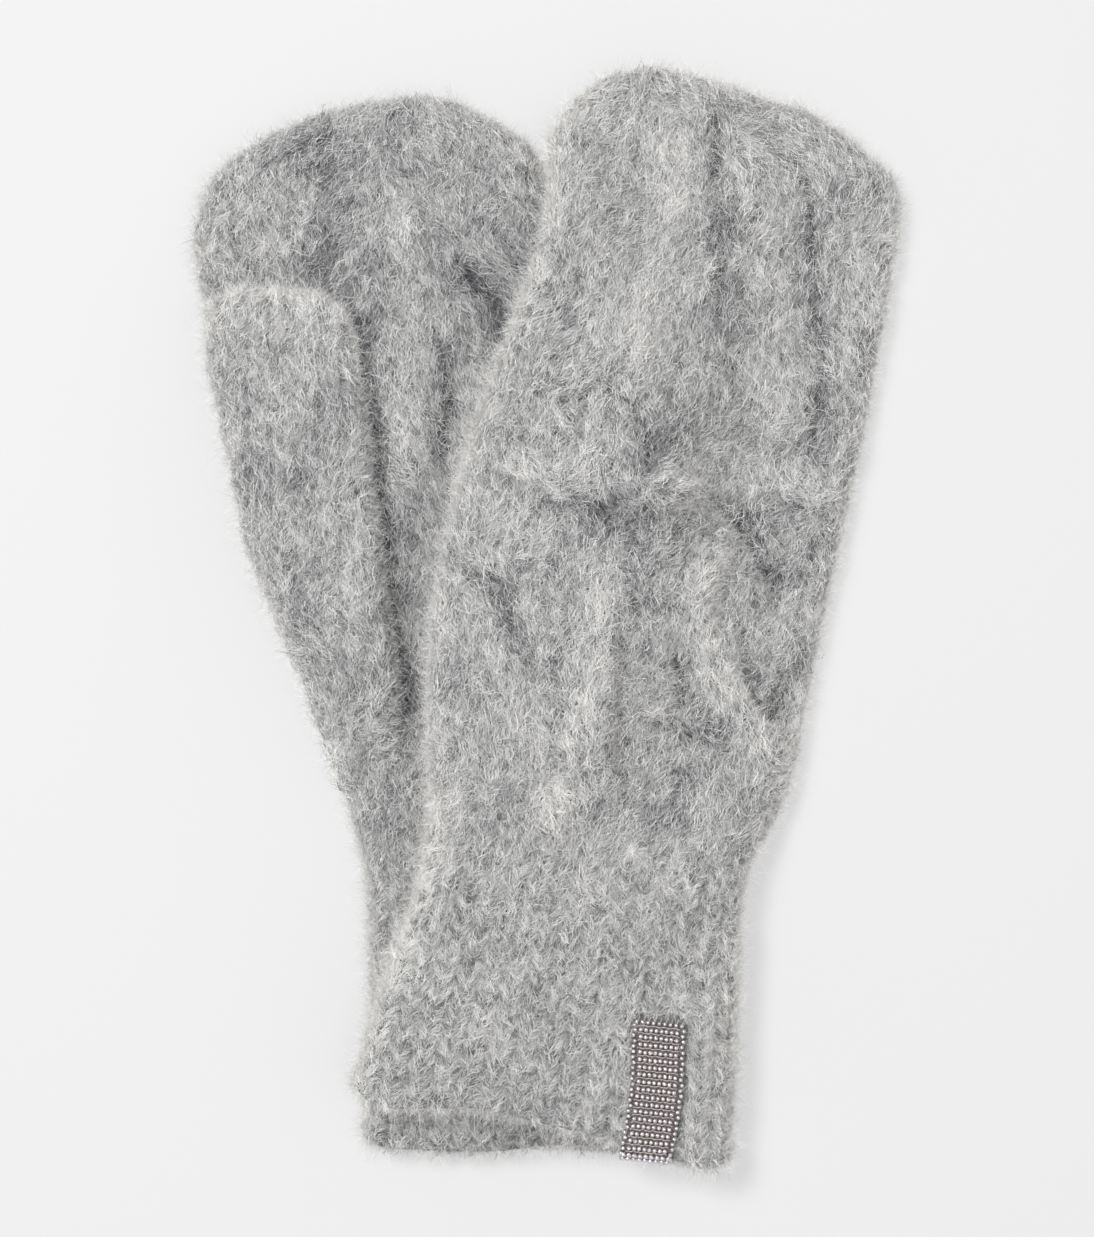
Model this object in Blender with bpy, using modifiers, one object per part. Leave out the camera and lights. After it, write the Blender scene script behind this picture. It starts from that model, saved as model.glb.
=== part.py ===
"""A pair of brushed knitted mittens, lying flat and overlapping.

The left mitten lies palm up with its thumb folded over the palm. The right mitten lies on it with
its back up and its thumb folded under its palm, and it droops to the table past the left mitten.
Lengths are in millimetres and are scaled to metres as each mesh is made. +X is to the right, +Y
runs from the cuffs to the fingertips, and the origin is on the table under the middle of the pair.
"""

import math

import bmesh
import bpy
import numpy as np
from mathutils import Matrix, Vector

MM = 0.001
COLLECTION = "knitted_mittens"
CUTTERS = "cutters"

# Driving dimensions
HAND_THICK = 9.4        # a flat hand or cuff, outside to outside
HAND_WALL = 2.2         # brushed knit
THUMB_THICK = 8.6
THUMB_WALL = 2.0
EDGE_ROUND = 7.0        # how far in from a side the fabric curves down to the seam
NEAR_A_SIDE = (0.0, 0.9, 3.2, EDGE_ROUND)   # where the columns of points stand on that curve
MOST_NEAR_A_SIDE = 0.36                     # of a row's width, where a row is narrow
SEAM_LIP = 1.25         # half the slot between back and palm, where the seam yarn runs
SEAM_INSET = 0.8        # from the side to the middle of that yarn
YARN_RADIUS = 0.45
GAP = 0.3               # between touching pieces
WRIST_GAP = 1.2         # between hand and cuff, where the cuff folds
FOLD_GAP = 1.4          # from the thumb's fold to the thumb, and to the gusset
LAYER_GAP = 1.2         # between the layers that lie on each other
WRIST_Y = -64.0
TIP_ROW = 11            # rows of a hand panel below its rounded tip
ROUND_TIP = 26.0
TIP_STEPS = 7
CUFF_EDGE_WIDTH = 3.6   # the bound-off edge
DROOP_WIDTH = 28.0      # the right mitten comes down to the table over this width
THUMB_BULGE_WIDTH = 26.0  # the right mitten rises over its thumb and comes down over this width
THUMB_BULGE_START = 48.0  # and over this length from the wrist
THUMB_BULGE_END = 24.0    # and past the thumb's tip
GUSSET_GAP = 0.9        # between the palm and the gusset on it
TABLE_GAP = 0.4
AXIS_GAP = 0.1          # a fold's axis stands this far off the fabric

TAB_WIDTH = 13.0
TAB_LENGTH = 36.2
RIBBON_THICK = 0.8
RIBBON_TURNED_IN = 8.0  # ribbon inside the cuff
TAB_ROWS = 18
FIRST_ROW = 1.0         # from the tab's top
ROW_PITCH = 1.87
ROW_BALLS = 8
BALL_PITCH = 1.62
BALL_RADIUS = 0.62
LINK_RADIUS = 0.24
BALL_GAP = 0.1
RISE_FOR_TAB = 2.9      # how far the left cuff's lower wall gives way to the tab under it
RISE_MARGIN = 6.0
STITCH_RADIUS = 0.4
STITCH_BAR = (-5.5, 0, 5.5)     # the bar of stitches at the tab's top, across it
STITCH_UP = 1.0                 # above the tab

# Sides of each mitten, as (y, x) from cuff to fingertip, and its cuff's end, as (x, y)
LEFT = {
    "thumb_side": [(-136, -47), (-99, -45.5), (-70, -46), (-50, -50), (-30, -54.5), (-5, -63.5),
                   (20, -73), (50, -81), (75, -86.5), (97, -90), (108, -88), (118, -79.5), (126, -65),
                   (131, -49), (133, -38)],
    "outer_side": [(-138, 36), (-100, 37), (-64, 38), (-40, 38), (0, 33), (50, 17), (95, 3),
                   (108, 0.5), (118, -3), (126, -12.5), (131, -22), (133, -30)],
    "cuff_end": [(-47, -134), (-42, -136), (-17, -137), (3, -135.5), (20, -136), (36, -137)],
    "tip_y": 133.0,
}
RIGHT = {
    "thumb_side": [(-119, -49.5), (-100, -44), (-84, -38.6), (-66, -32.5), (-45, -29.5), (-20, -29.8),
                   (0, -28.5), (27, -23.5), (58, -14.6), (93, -2), (109, 0.8), (119, 0.4), (127, 3.6),
                   (133, 8.2), (138, 16), (140, 24)],
    "outer_side": [(-138, 46.8), (-107, 48.3), (-76, 49.3), (-64, 51.3), (-54, 56.4), (-43, 61.5),
                   (-16, 67), (15, 73.6), (55, 82), (93, 88.5), (105, 90), (111, 89), (116, 84.5),
                   (122.5, 76.7), (129, 66.5), (133, 54), (138, 38.6), (140, 31)],
    "cuff_end": [(-49.5, -119), (-45, -123), (-37.4, -124.5), (-19.6, -124.5), (-2, -128), (18, -133),
                 (34, -138), (42, -140), (46.8, -138)],
    "tip_y": 140.0,
}
# Thumbs: the fold at the base from outer end to crotch, then the sides up to the tip, as (share, x, y)
LEFT_THUMB = {
    "outer": [(0, -75, 17), (0.35, -80.5, 42), (0.7, -86.2, 70), (0.9, -85.5, 78.5), (1, -79, 82.5)],
    "inner": [(0, -38.5, -20.5), (0.3, -43.5, 20), (0.65, -47.2, 55), (0.9, -51.5, 76.5), (1, -58, 81.5)],
    "root": [(-53, -44), (-42, -44)],
    "opening": (-51, -17),
}
RIGHT_THUMB = {
    "outer": [(0, -20, 28), (0.35, -14, 48), (0.7, -4.5, 77), (0.9, -1, 88), (1, 6, 92.5)],
    "inner": [(0, 9, -16), (0.3, 17, 20), (0.65, 28, 58), (0.9, 34, 83), (1, 28, 91.5)],
    "root": [(-25, -36), (-12, -36)],
    "opening": (-9, -2),
}
CUTTER_DEPTH = 60.0
PALM_OPENING = (10.0, 4.5)  # half sizes of the opening under the gusset, along and across the fold
SQUARE_RUN = 2.0        # of the thumb and of the gusset, at the fold
ALONG_THUMB = (0, 0.2, 0.4, 0.6, 0.76, 0.88, 0.95, 1.0)
ALONG_GUSSET = (0, 0.25, 0.5, 0.75, 1.0)
# Tabs: the middle of the top end, as (x, y), and how far the tab leans from straight down
LEFT_TAB = {"top": (15.0, -101.5), "lean": math.radians(-3)}
RIGHT_TAB = {"top": (28.2, -101.8), "lean": math.radians(-6)}

COLOURS = {"knit": (0.40, 0.40, 0.395), "yarn": (0.33, 0.33, 0.33), "ribbon": (0.36, 0.34, 0.32),
           "balls": (0.62, 0.60, 0.60)}


# ---------------------------------------------------------------- scene and materials

def clear_scene():
    for thing in list(bpy.data.objects):
        bpy.data.objects.remove(thing, do_unlink=True)


def collection(name):
    made = bpy.data.collections.new(name)
    bpy.context.scene.collection.children.link(made)
    return made


def material(name, colour, roughness, metallic=0.0):
    made = bpy.data.materials.new(name)
    made.use_nodes = True
    shader = made.node_tree.nodes["Principled BSDF"]
    shader.inputs["Base Color"].default_value = (*colour, 1.0)
    shader.inputs["Roughness"].default_value = roughness
    shader.inputs["Metallic"].default_value = metallic
    return made


def make_materials():
    return {
        "knit": material("brushed_knit", COLOURS["knit"], 0.95),
        "yarn": material("seam_yarn", COLOURS["yarn"], 0.95),
        "ribbon": material("woven_ribbon", COLOURS["ribbon"], 0.9),
        "balls": material("steel_balls", COLOURS["balls"], 0.22, 1.0),
    }


# ---------------------------------------------------------------- curves and profiles

def smoothstep(t):
    t = np.clip(t, 0.0, 1.0)
    return t * t * (3 - 2 * t)


def through(knots):
    """A smooth function through (t, value) knots that never overshoots them."""
    t, v = (np.array(column, float) for column in zip(*sorted(knots)))
    step = np.diff(t)
    rise = np.diff(v) / step
    same = rise[:-1] * rise[1:] > 0
    mean = np.where(same, 2 * rise[:-1] * rise[1:] / np.where(same, rise[:-1] + rise[1:], 1), 0)
    slope = np.concatenate([[rise[0]], mean, [rise[-1]]])

    def value(at):
        at = np.clip(np.asarray(at, float), t[0], t[-1])
        i = np.clip(np.searchsorted(t, at, side="right") - 1, 0, len(step) - 1)
        s = (at - t[i]) / step[i]
        return ((2 * s**3 - 3 * s**2 + 1) * v[i] + (s**3 - 2 * s**2 + s) * step[i] * slope[i]
                + (3 * s**2 - 2 * s**3) * v[i + 1] + (s**3 - s**2) * step[i] * slope[i + 1])

    return value


def distance_to(line, x, y):
    """How far each point (x, y) is from an open polyline."""
    a, b = np.array(line[:-1], float), np.array(line[1:], float)
    p = np.stack([x, y], -1)[..., None, :]
    t = np.clip(((p - a) * (b - a)).sum(-1) / ((b - a) ** 2).sum(-1), 0, 1)
    return np.linalg.norm(p - (a + t[..., None] * (b - a)), axis=-1).min(-1)


def swell(distance, width=EDGE_ROUND):
    """A quarter ellipse, from 0 at a side to 1 where the fabric lies flat."""
    return np.sqrt(1 - (1 - np.clip(distance / width, 0, 1)) ** 2)


# ---------------------------------------------------------------- how the layers lie

left_outer_side = through(LEFT["outer_side"])


def droop(x, y):
    """1 on top of the left mitten, falling to 0 past its right side."""
    return 1 - smoothstep((x - left_outer_side(y) - 1) / DROOP_WIDTH)


def over_thumb(x, y):
    """1 over the right thumb and its gusset, falling to 0 around them."""
    y_of = [knot[2] for knot in RIGHT_THUMB["inner"]]
    inner = through([(knot[2], knot[1]) for knot in RIGHT_THUMB["inner"] if knot[0] < 1])
    sideways = 1 - smoothstep((x - inner(np.minimum(y, y_of[-2])) - 5) / THUMB_BULGE_WIDTH)
    wristward = smoothstep((y - WRIST_Y + 2) / THUMB_BULGE_START)
    tipward = 1 - smoothstep((y - y_of[-1] - 3) / THUMB_BULGE_END)
    return sideways * wristward * tipward


def left_base(x, y):
    return np.zeros_like(x)


def on_left_mitten(x, y):
    """The surface that the right mitten's thumb and cuff lie on."""
    return TABLE_GAP + droop(x, y) * (HAND_THICK + LAYER_GAP - TABLE_GAP)


def right_base(x, y):
    return on_left_mitten(x, y) + over_thumb(x, y) * (THUMB_THICK + LAYER_GAP)


# ---------------------------------------------------------------- meshes

def mesh_object(name, points, faces, finish, where):
    mesh = bpy.data.meshes.new(name)
    mesh.from_pydata([tuple(c * MM for c in p) for p in points], [], faces)
    mesh.validate()
    mesh.materials.append(finish)
    mesh.shade_smooth()
    made = bpy.data.objects.new(name, mesh)
    where.objects.link(made)
    return made


def solidify(made, thickness, even=True):
    wall = made.modifiers.new("wall", "SOLIDIFY")
    wall.thickness = thickness * MM
    wall.offset = -1.0
    wall.use_even_offset = even
    wall.use_rim = True
    wall.thickness_clamp = 0.0
    return made


def grid_faces(rows, columns, start=0, flip=False, ring=False):
    faces = []
    for r in range(rows - 1):
        for c in range(columns if ring else columns - 1):
            n = (c + 1) % columns
            quad = [start + r * columns + c, start + r * columns + n,
                    start + (r + 1) * columns + n, start + (r + 1) * columns + c]
            faces.append(quad[::-1] if flip else quad)
    return faces


def offsets_across(width, inner_columns):
    """Distances from the first side: close together at both sides, even between."""
    near = np.array(NEAR_A_SIDE) * min(1.0, MOST_NEAR_A_SIDE * width / EDGE_ROUND)
    middle = np.linspace(near[-1], width - near[-1], inner_columns + 2)[1:-1]
    return np.concatenate([near, middle, width - near[::-1]])


def lay_out(sides, inner_columns):
    """Rows of points, each row straight from one side's point to the other's."""
    rows = []
    for (x0, y0), (x1, y1) in sides:
        width = math.hypot(x1 - x0, y1 - y0)
        share = offsets_across(width, inner_columns) / width
        rows.append(np.stack([x0 + (x1 - x0) * share, y0 + (y1 - y0) * share], -1))
    return np.array(rows)


def with_lip(plan, closed_end):
    """The plan with its outermost points doubled, for the short upright lip at the seam."""
    doubled = np.concatenate([plan[:, :1], plan, plan[:, -1:]], axis=1)
    if closed_end:
        doubled = np.concatenate([doubled, doubled[-1:]], axis=0)
    return doubled


def panel(name, sides, base, thick, facing, finish, where, wall, inner_columns=5):
    """One knitted layer: a surface that lies flat and curves down to the seam at its sides and tip."""
    plan = lay_out(sides, inner_columns)
    outline = [p[0] for p in sides] + [p[1] for p in sides[::-1]]
    lift = swell(distance_to(outline, plan[..., 0], plan[..., 1]))
    full = thick / 2 - SEAM_LIP - GAP
    height = with_lip(SEAM_LIP + GAP + full * lift[..., None], True)[..., 0]
    plan = with_lip(plan, True)
    height[:, 0] = height[:, -1] = SEAM_LIP
    height[-1, :] = SEAM_LIP
    x, y = plan[..., 0], plan[..., 1]
    z = base(x, y) + thick / 2 + facing * height
    rows, columns = x.shape
    points = np.stack([x, y, z], -1).reshape(-1, 3)
    made = mesh_object(name, points, grid_faces(rows, columns, flip=facing < 0), finish, where)
    weld(made)
    return solidify(made, wall, even=False)


def sleeve(name, plan, base, thick, finish, where, wall, lower_rise=None, closed_tip=False):
    """A flattened tube round the plan's rows, open at both ends or closed along its last row."""
    x, y = plan[..., 0], plan[..., 1]
    if closed_tip:
        outline = np.concatenate([plan[:, 0], plan[-1, 1:-1], plan[::-1, -1]])
        lift = swell(distance_to(outline, x, y))
    else:
        lift = swell(np.minimum(distance_to(plan[:, 0], x, y), distance_to(plan[:, -1], x, y)))
    middle = base(x, y) + thick / 2
    upper = np.stack([x, y, middle + thick / 2 * lift], -1)
    lower = np.stack([x, y, middle - thick / 2 * lift], -1)
    if lower_rise is not None:
        lower[..., 2] += lower_rise(x, y)
    ring = np.concatenate([upper, lower[:, -2:0:-1]], axis=1)
    faces = grid_faces(*ring.shape[:2], ring=True)
    made = mesh_object(name, ring.reshape(-1, 3), faces, finish, where)
    if closed_tip:
        weld(made)
    return solidify(made, wall)


def weld(made):
    """Joins points that meet: two layers at a closed tip, or the corners of a lip."""
    work = bmesh.new()
    work.from_mesh(made.data)
    bmesh.ops.remove_doubles(work, verts=work.verts, dist=0.02 * MM)
    work.to_mesh(made.data)
    work.free()


def cord(name, route, radius, finish, where, cyclic=False):
    """A yarn along the points of its route."""
    curve = bpy.data.curves.new(name, "CURVE")
    curve.dimensions = "3D"
    curve.bevel_depth = radius * MM
    curve.bevel_resolution = 1
    curve.use_fill_caps = not cyclic
    line = curve.splines.new("POLY")
    line.points.add(len(route) - 1)
    line.use_cyclic_u = cyclic
    for point, place in zip(line.points, route):
        point.co = (*(c * MM for c in place), 1.0)
    curve.materials.append(finish)
    made = bpy.data.objects.new(name, curve)
    where.objects.link(made)
    return made


# ---------------------------------------------------------------- the hand and the cuff

def hand_sides(shape):
    """Left and right ends of each row of a hand panel, from the wrist to the fingertips."""
    tip = shape["tip_y"]
    straight = np.linspace(WRIST_Y + WRIST_GAP / 2, tip - ROUND_TIP, TIP_ROW)
    rounded = tip - ROUND_TIP * (1 - np.sin(np.linspace(0, math.pi / 2, TIP_STEPS)[1:]))
    side, other = through(shape["thumb_side"]), through(shape["outer_side"])
    return [((float(side(y)), y), (float(other(y)), y)) for y in (*straight, *rounded)]


def cuff_plan(shape, start, end, rows, inner_columns):
    """Rows of the cuff, from share start to share end of the way from its edge to the wrist."""
    side, other = through(shape["thumb_side"]), through(shape["outer_side"])
    edge = through(shape["cuff_end"])
    (x0, y0), (x1, y1) = shape["cuff_end"][0], shape["cuff_end"][-1]
    share = offsets_across(x1 - x0, inner_columns) / (x1 - x0)
    wrist = WRIST_Y - WRIST_GAP / 2
    made = []
    for up in np.linspace(start, end, rows):
        left, right = side(y0 + (wrist - y0) * up), other(y1 + (wrist - y1) * up)
        end_y = edge(x0 + (x1 - x0) * share)
        made.append(np.stack([left + (right - left) * share, end_y + (wrist - end_y) * up], -1))
    return np.array(made)


def seam_route(sides, base, first, last, which):
    """The seam yarn's route: in the slot between the panels, half a wall in from the side."""
    middle = [(np.array(a) + np.array(b)) / 2 for a, b in sides]
    route = []
    for row in range(first, last):
        end, inward = np.array(sides[row][which]), middle[row] - np.array(sides[row][which])
        x, y = end + inward / np.linalg.norm(inward) * SEAM_INSET
        route.append((x, y, float(base(np.array(x), np.array(y))) + HAND_THICK / 2))
    return route


def tip_route(sides, base, first):
    """The tip seam: up one side of the rounded tip, along its top and down the other side."""
    up = seam_route(sides, base, first, len(sides) - 1, 0)
    down = seam_route(sides, base, first, len(sides) - 1, 1)[::-1]
    top = []
    (x0, y0), (x1, _) = sides[-1]
    for x in np.linspace(x0, x1, 4):
        y = y0 - SEAM_INSET
        top.append((x, y, float(base(np.array(x), np.array(y))) + HAND_THICK / 2))
    return up + top + down


def make_hand(side, shape, base, palm_up, finishes, where):
    """Back, palm and the three seam yarns between them. Returns the palm."""
    sides = hand_sides(shape)
    facing = -1 if palm_up else 1
    panel(f"{side}_hand_back", sides, base, HAND_THICK, facing, finishes["knit"], where, HAND_WALL)
    palm = panel(f"{side}_hand_palm", sides, base, HAND_THICK, -facing, finishes["knit"], where, HAND_WALL)
    yarn = finishes["yarn"]
    cord(f"{side}_thumb_side_seam", seam_route(sides, base, 0, TIP_ROW, 0), YARN_RADIUS, yarn, where)
    cord(f"{side}_outer_side_seam", seam_route(sides, base, 0, TIP_ROW, 1), YARN_RADIUS, yarn, where)
    cord(f"{side}_tip_seam", tip_route(sides, base, TIP_ROW), YARN_RADIUS, yarn, where)
    return palm


def make_cuff(side, shape, base, rows, columns, finish, where, lower_rise=None):
    length = WRIST_Y - shape["cuff_end"][0][1]
    edge_share, gap_share = CUFF_EDGE_WIDTH / length, 2 * GAP / length
    cuff = sleeve(f"{side}_cuff", cuff_plan(shape, edge_share + gap_share, 1, rows, columns), base,
                  HAND_THICK, finish, where, HAND_WALL, lower_rise)
    edge = sleeve(f"{side}_cuff_edge", cuff_plan(shape, 0, edge_share, 2, columns), base,
                  HAND_THICK, finish, where, HAND_WALL, lower_rise)
    return [cuff, edge]


# ---------------------------------------------------------------- the thumb and its gusset

def fold_ends(thumb):
    """The outer end and the crotch end of the fold at the thumb's base."""
    return np.array(thumb["outer"][0][1:], float), np.array(thumb["inner"][0][1:], float)


def fold_directions(thumb):
    """Unit vectors in the table's plane: along the fold to the crotch, and from it towards the tip."""
    outer, crotch = fold_ends(thumb)
    along = (crotch - outer) / np.linalg.norm(crotch - outer)
    return along, np.array([-along[1], along[0]])


def thumb_plan(thumb):
    """Rows of the thumb, with a short straight run at its base so that its end is square to the fold."""
    away = fold_directions(thumb)[1]
    sides = [[tuple(end + away * FOLD_GAP) for end in fold_ends(thumb)]]
    for share in ALONG_THUMB:
        ends = []
        for knots in (thumb["outer"], thumb["inner"]):
            x = through([(k[0], k[1]) for k in knots])(share)
            y = through([(k[0], k[2]) for k in knots])(share)
            ends.append(tuple(np.array([x, y]) + away * (FOLD_GAP + SQUARE_RUN) * (1 - share)))
        sides.append(ends)
    return lay_out(sides, 4)


def gusset(name, thumb, palm, facing, finish, where):
    """A hood on the palm: as deep as the thumb at the fold, running out towards the wrist."""
    outer, crotch = fold_ends(thumb)
    away = fold_directions(thumb)[1]
    back = away * (FOLD_GAP + SQUARE_RUN)
    root_outer, root_inner = (np.array(p, float) for p in thumb["root"])
    share = np.array((0, *ALONG_GUSSET))
    sides = [(tuple((outer - back) * (1 - t) + root_outer * t),
              tuple((crotch - back) * (1 - t) + root_inner * t)) for t in share]
    sides[0] = (tuple(outer - away * FOLD_GAP), tuple(crotch - away * FOLD_GAP))
    plan = lay_out(sides, 3)
    x, y = plan[..., 0], plan[..., 1]
    lift = swell(np.minimum(distance_to(plan[:, 0], x, y), distance_to(plan[:, -1], x, y)))
    least = THUMB_WALL + GAP
    depth = least + (THUMB_THICK - least) * (1 - smoothstep(share))[:, None] * lift
    depth = with_lip(depth[..., None], True)[..., 0]
    depth[:, 0] = depth[:, -1] = 0
    depth[-1, :] = 0
    plan = with_lip(plan, True)
    x, y = plan[..., 0], plan[..., 1]
    z = palm(x, y) + facing * (GUSSET_GAP + depth)
    points = np.stack([x, y, z], -1).reshape(-1, 3)
    made = mesh_object(name, points, grid_faces(*x.shape, flip=facing > 0), finish, where)
    weld(made)
    return solidify(made, THUMB_WALL, even=False)


def fold_seam(name, thumb, low, finish, where):
    """The yarn round the fold, between the gusset and the thumb, which stands on the height low."""
    outer, crotch = fold_ends(thumb)
    along, _ = fold_directions(thumb)
    inset = THUMB_WALL / 2
    radius = THUMB_THICK / 2 - inset
    middle = low + THUMB_THICK / 2
    route = []
    for end, sign in ((outer, 1), (crotch, -1)):
        centre = end + along * sign * (THUMB_THICK / 2)
        for turn in np.linspace(90, 270, 6):
            a = math.radians(turn if sign > 0 else turn - 180)
            x, y = centre + along * radius * math.cos(a)
            route.append((x, y, middle + radius * math.sin(a)))
    return cord(name, route, YARN_RADIUS, finish, where, cyclic=True)


def open_palm(palm, thumb, cutters):
    """Cuts the oval opening in the palm that the thumb grows out of."""
    along, _ = fold_directions(thumb)
    bpy.ops.mesh.primitive_cylinder_add(vertices=20, radius=1, depth=CUTTER_DEPTH * MM)
    cutter = bpy.context.object
    cutter.name = palm.name + "_opening_cutter"
    cutter.data.transform(Matrix.Diagonal((PALM_OPENING[0] * MM, PALM_OPENING[1] * MM, 1, 1)))
    cutter.rotation_euler.z = math.atan2(along[1], along[0])
    cutter.location = (thumb["opening"][0] * MM, thumb["opening"][1] * MM, 0)
    cutter.hide_render = True
    cutter.display_type = "WIRE"
    for old in cutter.users_collection:
        old.objects.unlink(cutter)
    cutters.objects.link(cutter)
    cut = palm.modifiers.new("thumb_opening", "BOOLEAN")
    cut.operation = "DIFFERENCE"
    cut.solver = "EXACT"
    cut.object = cutter


# ---------------------------------------------------------------- the tab of steel balls

def tab_frame(tab):
    """The tab's top, and its directions across (to +X) and down."""
    lean = tab["lean"]
    down = np.array([math.sin(lean), -math.cos(lean)])
    return np.array(tab["top"]), np.array([-down[1], down[0]]), down


def ribbon(name, tab, face, facing, finish, where):
    """A strip on the cuff's face, turned round the cuff's edge and back along the inside of the wall."""
    top, across, down = tab_frame(tab)
    turn_radius = HAND_WALL / 2 + GAP + RIBBON_THICK
    middle = face - facing * HAND_WALL / 2
    profile = [(0, turn_radius)]
    for turn in np.linspace(90, -90, 7):
        a = math.radians(turn)
        profile.append((TAB_LENGTH - turn_radius + turn_radius * math.cos(a), turn_radius * math.sin(a)))
    profile.append((TAB_LENGTH - turn_radius - RIBBON_TURNED_IN, -turn_radius))
    points = []
    for reach, height in profile:
        for half in (-TAB_WIDTH / 2, TAB_WIDTH / 2):
            x, y = top + down * reach + across * half
            points.append((x, y, middle + facing * height))
    made = mesh_object(name, points, grid_faces(len(profile), 2, flip=facing > 0), finish, where)
    return solidify(made, RIBBON_THICK)


def ball_row_mesh(name, finish):
    """One string of balls: a profile of crests and narrow links, turned about the string."""
    first = (ROW_BALLS - 1) / 2 * BALL_PITCH
    profile = [(0, first + BALL_RADIUS)]
    for ball in range(ROW_BALLS):
        middle = first - ball * BALL_PITCH
        profile.append((BALL_RADIUS, middle))
        if ball < ROW_BALLS - 1:
            profile.append((LINK_RADIUS, middle - BALL_PITCH / 2))
    profile.append((0, -first - BALL_RADIUS))
    mesh = bpy.data.meshes.new(name)
    mesh.from_pydata([(r * MM, 0, z * MM) for r, z in profile],
                     [(i, i + 1) for i in range(len(profile) - 1)], [])
    mesh.materials.append(finish)
    return mesh


def ball_row(name, mesh, tab, reach, height, where):
    top, across, down = tab_frame(tab)
    row = bpy.data.objects.new(name, mesh)
    row.location = (*((top + down * reach) * MM), height * MM)
    row.rotation_mode = "QUATERNION"
    row.rotation_quaternion = Vector((*across, 0)).to_track_quat("Z", "Y")
    turn = row.modifiers.new("turned", "SCREW")
    turn.axis = "Z"
    turn.steps = turn.render_steps = 5
    turn.use_merge_vertices = True
    turn.merge_threshold = 0.00001
    turn.use_smooth_shade = True
    where.objects.link(row)
    return row


def make_tab(side, tab, face, facing, finishes, where):
    """Ribbon, its bar of stitches and the ball rows, on the side of the cuff that facing gives."""
    pieces = [ribbon(f"{side}_tab_ribbon", tab, face, facing, finishes["ribbon"], where)]
    top, across, down = tab_frame(tab)
    ends = [top - down * STITCH_UP + across * half for half in STITCH_BAR]
    height = face + facing * (GAP + STITCH_RADIUS)
    pieces.append(cord(f"{side}_tab_stitches", [(*end, height) for end in ends], STITCH_RADIUS,
                       finishes["yarn"], where))
    mesh = ball_row_mesh(f"{side}_tab_row", finishes["balls"])
    height = face + facing * (GAP + RIBBON_THICK + BALL_GAP + BALL_RADIUS)
    for row in range(TAB_ROWS):
        reach = FIRST_ROW + row * ROW_PITCH
        pieces.append(ball_row(f"{side}_tab_row_{row + 1:02d}", mesh, tab, reach, height, where))
    return pieces


def rise_for_left_tab(x, y):
    """How much the left cuff's lower wall rises over the tab that it lies on."""
    top, across, down = tab_frame(LEFT_TAB)
    sideways = np.abs((x - top[0]) * across[0] + (y - top[1]) * across[1]) - TAB_WIDTH / 2
    along = -((x - top[0]) * down[0] + (y - top[1]) * down[1])
    near = (1 - smoothstep(sideways / RISE_MARGIN - 0.9)) * (1 - smoothstep(along / RISE_MARGIN - 1.5))
    return RISE_FOR_TAB * near


# ---------------------------------------------------------------- the pair

def hang_on(pivot_name, place, pieces, where, parent=None):
    """Parents pieces to an empty that stands on their joint's axis."""
    pivot = bpy.data.objects.new(pivot_name, None)
    pivot.empty_display_size = 0.01
    where.objects.link(pivot)
    if parent is not None:
        pivot.parent = parent
        pivot.location = Vector(c * MM for c in place) - parent.matrix_world.translation
    else:
        pivot.location = [c * MM for c in place]
    bpy.context.view_layer.update()
    for piece in pieces:
        piece.parent = pivot
        piece.matrix_parent_inverse = pivot.matrix_world.inverted()
    return pivot


def fold_middle(thumb, height):
    outer, crotch = fold_ends(thumb)
    return (*((outer + crotch) / 2), height)


def make_left_mitten(finishes, where, cutters):
    knit = finishes["knit"]
    palm = make_hand("left", LEFT, left_base, True, finishes, where)
    open_palm(palm, LEFT_THUMB, cutters)
    low = HAND_THICK + LAYER_GAP
    thumb = sleeve("left_thumb", thumb_plan(LEFT_THUMB), lambda x, y: left_base(x, y) + low, THUMB_THICK,
                   knit, where, THUMB_WALL, closed_tip=True)
    gusset("left_thumb_gusset", LEFT_THUMB, lambda x, y: left_base(x, y) + HAND_THICK, 1, knit, where)
    fold_seam("left_thumb_seam", LEFT_THUMB, low, finishes["yarn"], where)
    make_cuff("left", LEFT, left_base, 8, 9, knit, where, rise_for_left_tab)
    make_tab("left", LEFT_TAB, RISE_FOR_TAB, -1, finishes, where)
    hang_on("left_thumb_fold", fold_middle(LEFT_THUMB, low + THUMB_THICK + AXIS_GAP), [thumb], where)


def make_right_mitten(finishes, where, cutters):
    knit = finishes["knit"]
    before = set(where.objects)
    palm = make_hand("right", RIGHT, right_base, False, finishes, where)
    open_palm(palm, RIGHT_THUMB, cutters)
    low = HAND_THICK + LAYER_GAP
    gusset("right_thumb_gusset", RIGHT_THUMB, right_base, -1, knit, where)
    fold_seam("right_thumb_seam", RIGHT_THUMB, low, finishes["yarn"], where)
    hand = [piece for piece in where.objects if piece not in before]
    thumb = sleeve("right_thumb", thumb_plan(RIGHT_THUMB), on_left_mitten, THUMB_THICK, knit, where,
                   THUMB_WALL, closed_tip=True)
    cuff = make_cuff("right", RIGHT, right_base, 5, 8, knit, where)
    face = low + HAND_THICK
    cuff += make_tab("right", RIGHT_TAB, face, 1, finishes, where)
    lift = hang_on("right_mitten_lift", (0, 0, 0), hand, where)
    hang_on("right_thumb_fold", fold_middle(RIGHT_THUMB, low - AXIS_GAP), [thumb], where, lift)
    hang_on("right_cuff_fold", (0, WRIST_Y, face + AXIS_GAP), cuff, where, lift)


def main():
    clear_scene()
    where, cutters = collection(COLLECTION), collection(CUTTERS)
    finishes = make_materials()
    make_left_mitten(finishes, where, cutters)
    make_right_mitten(finishes, where, cutters)


main()
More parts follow.
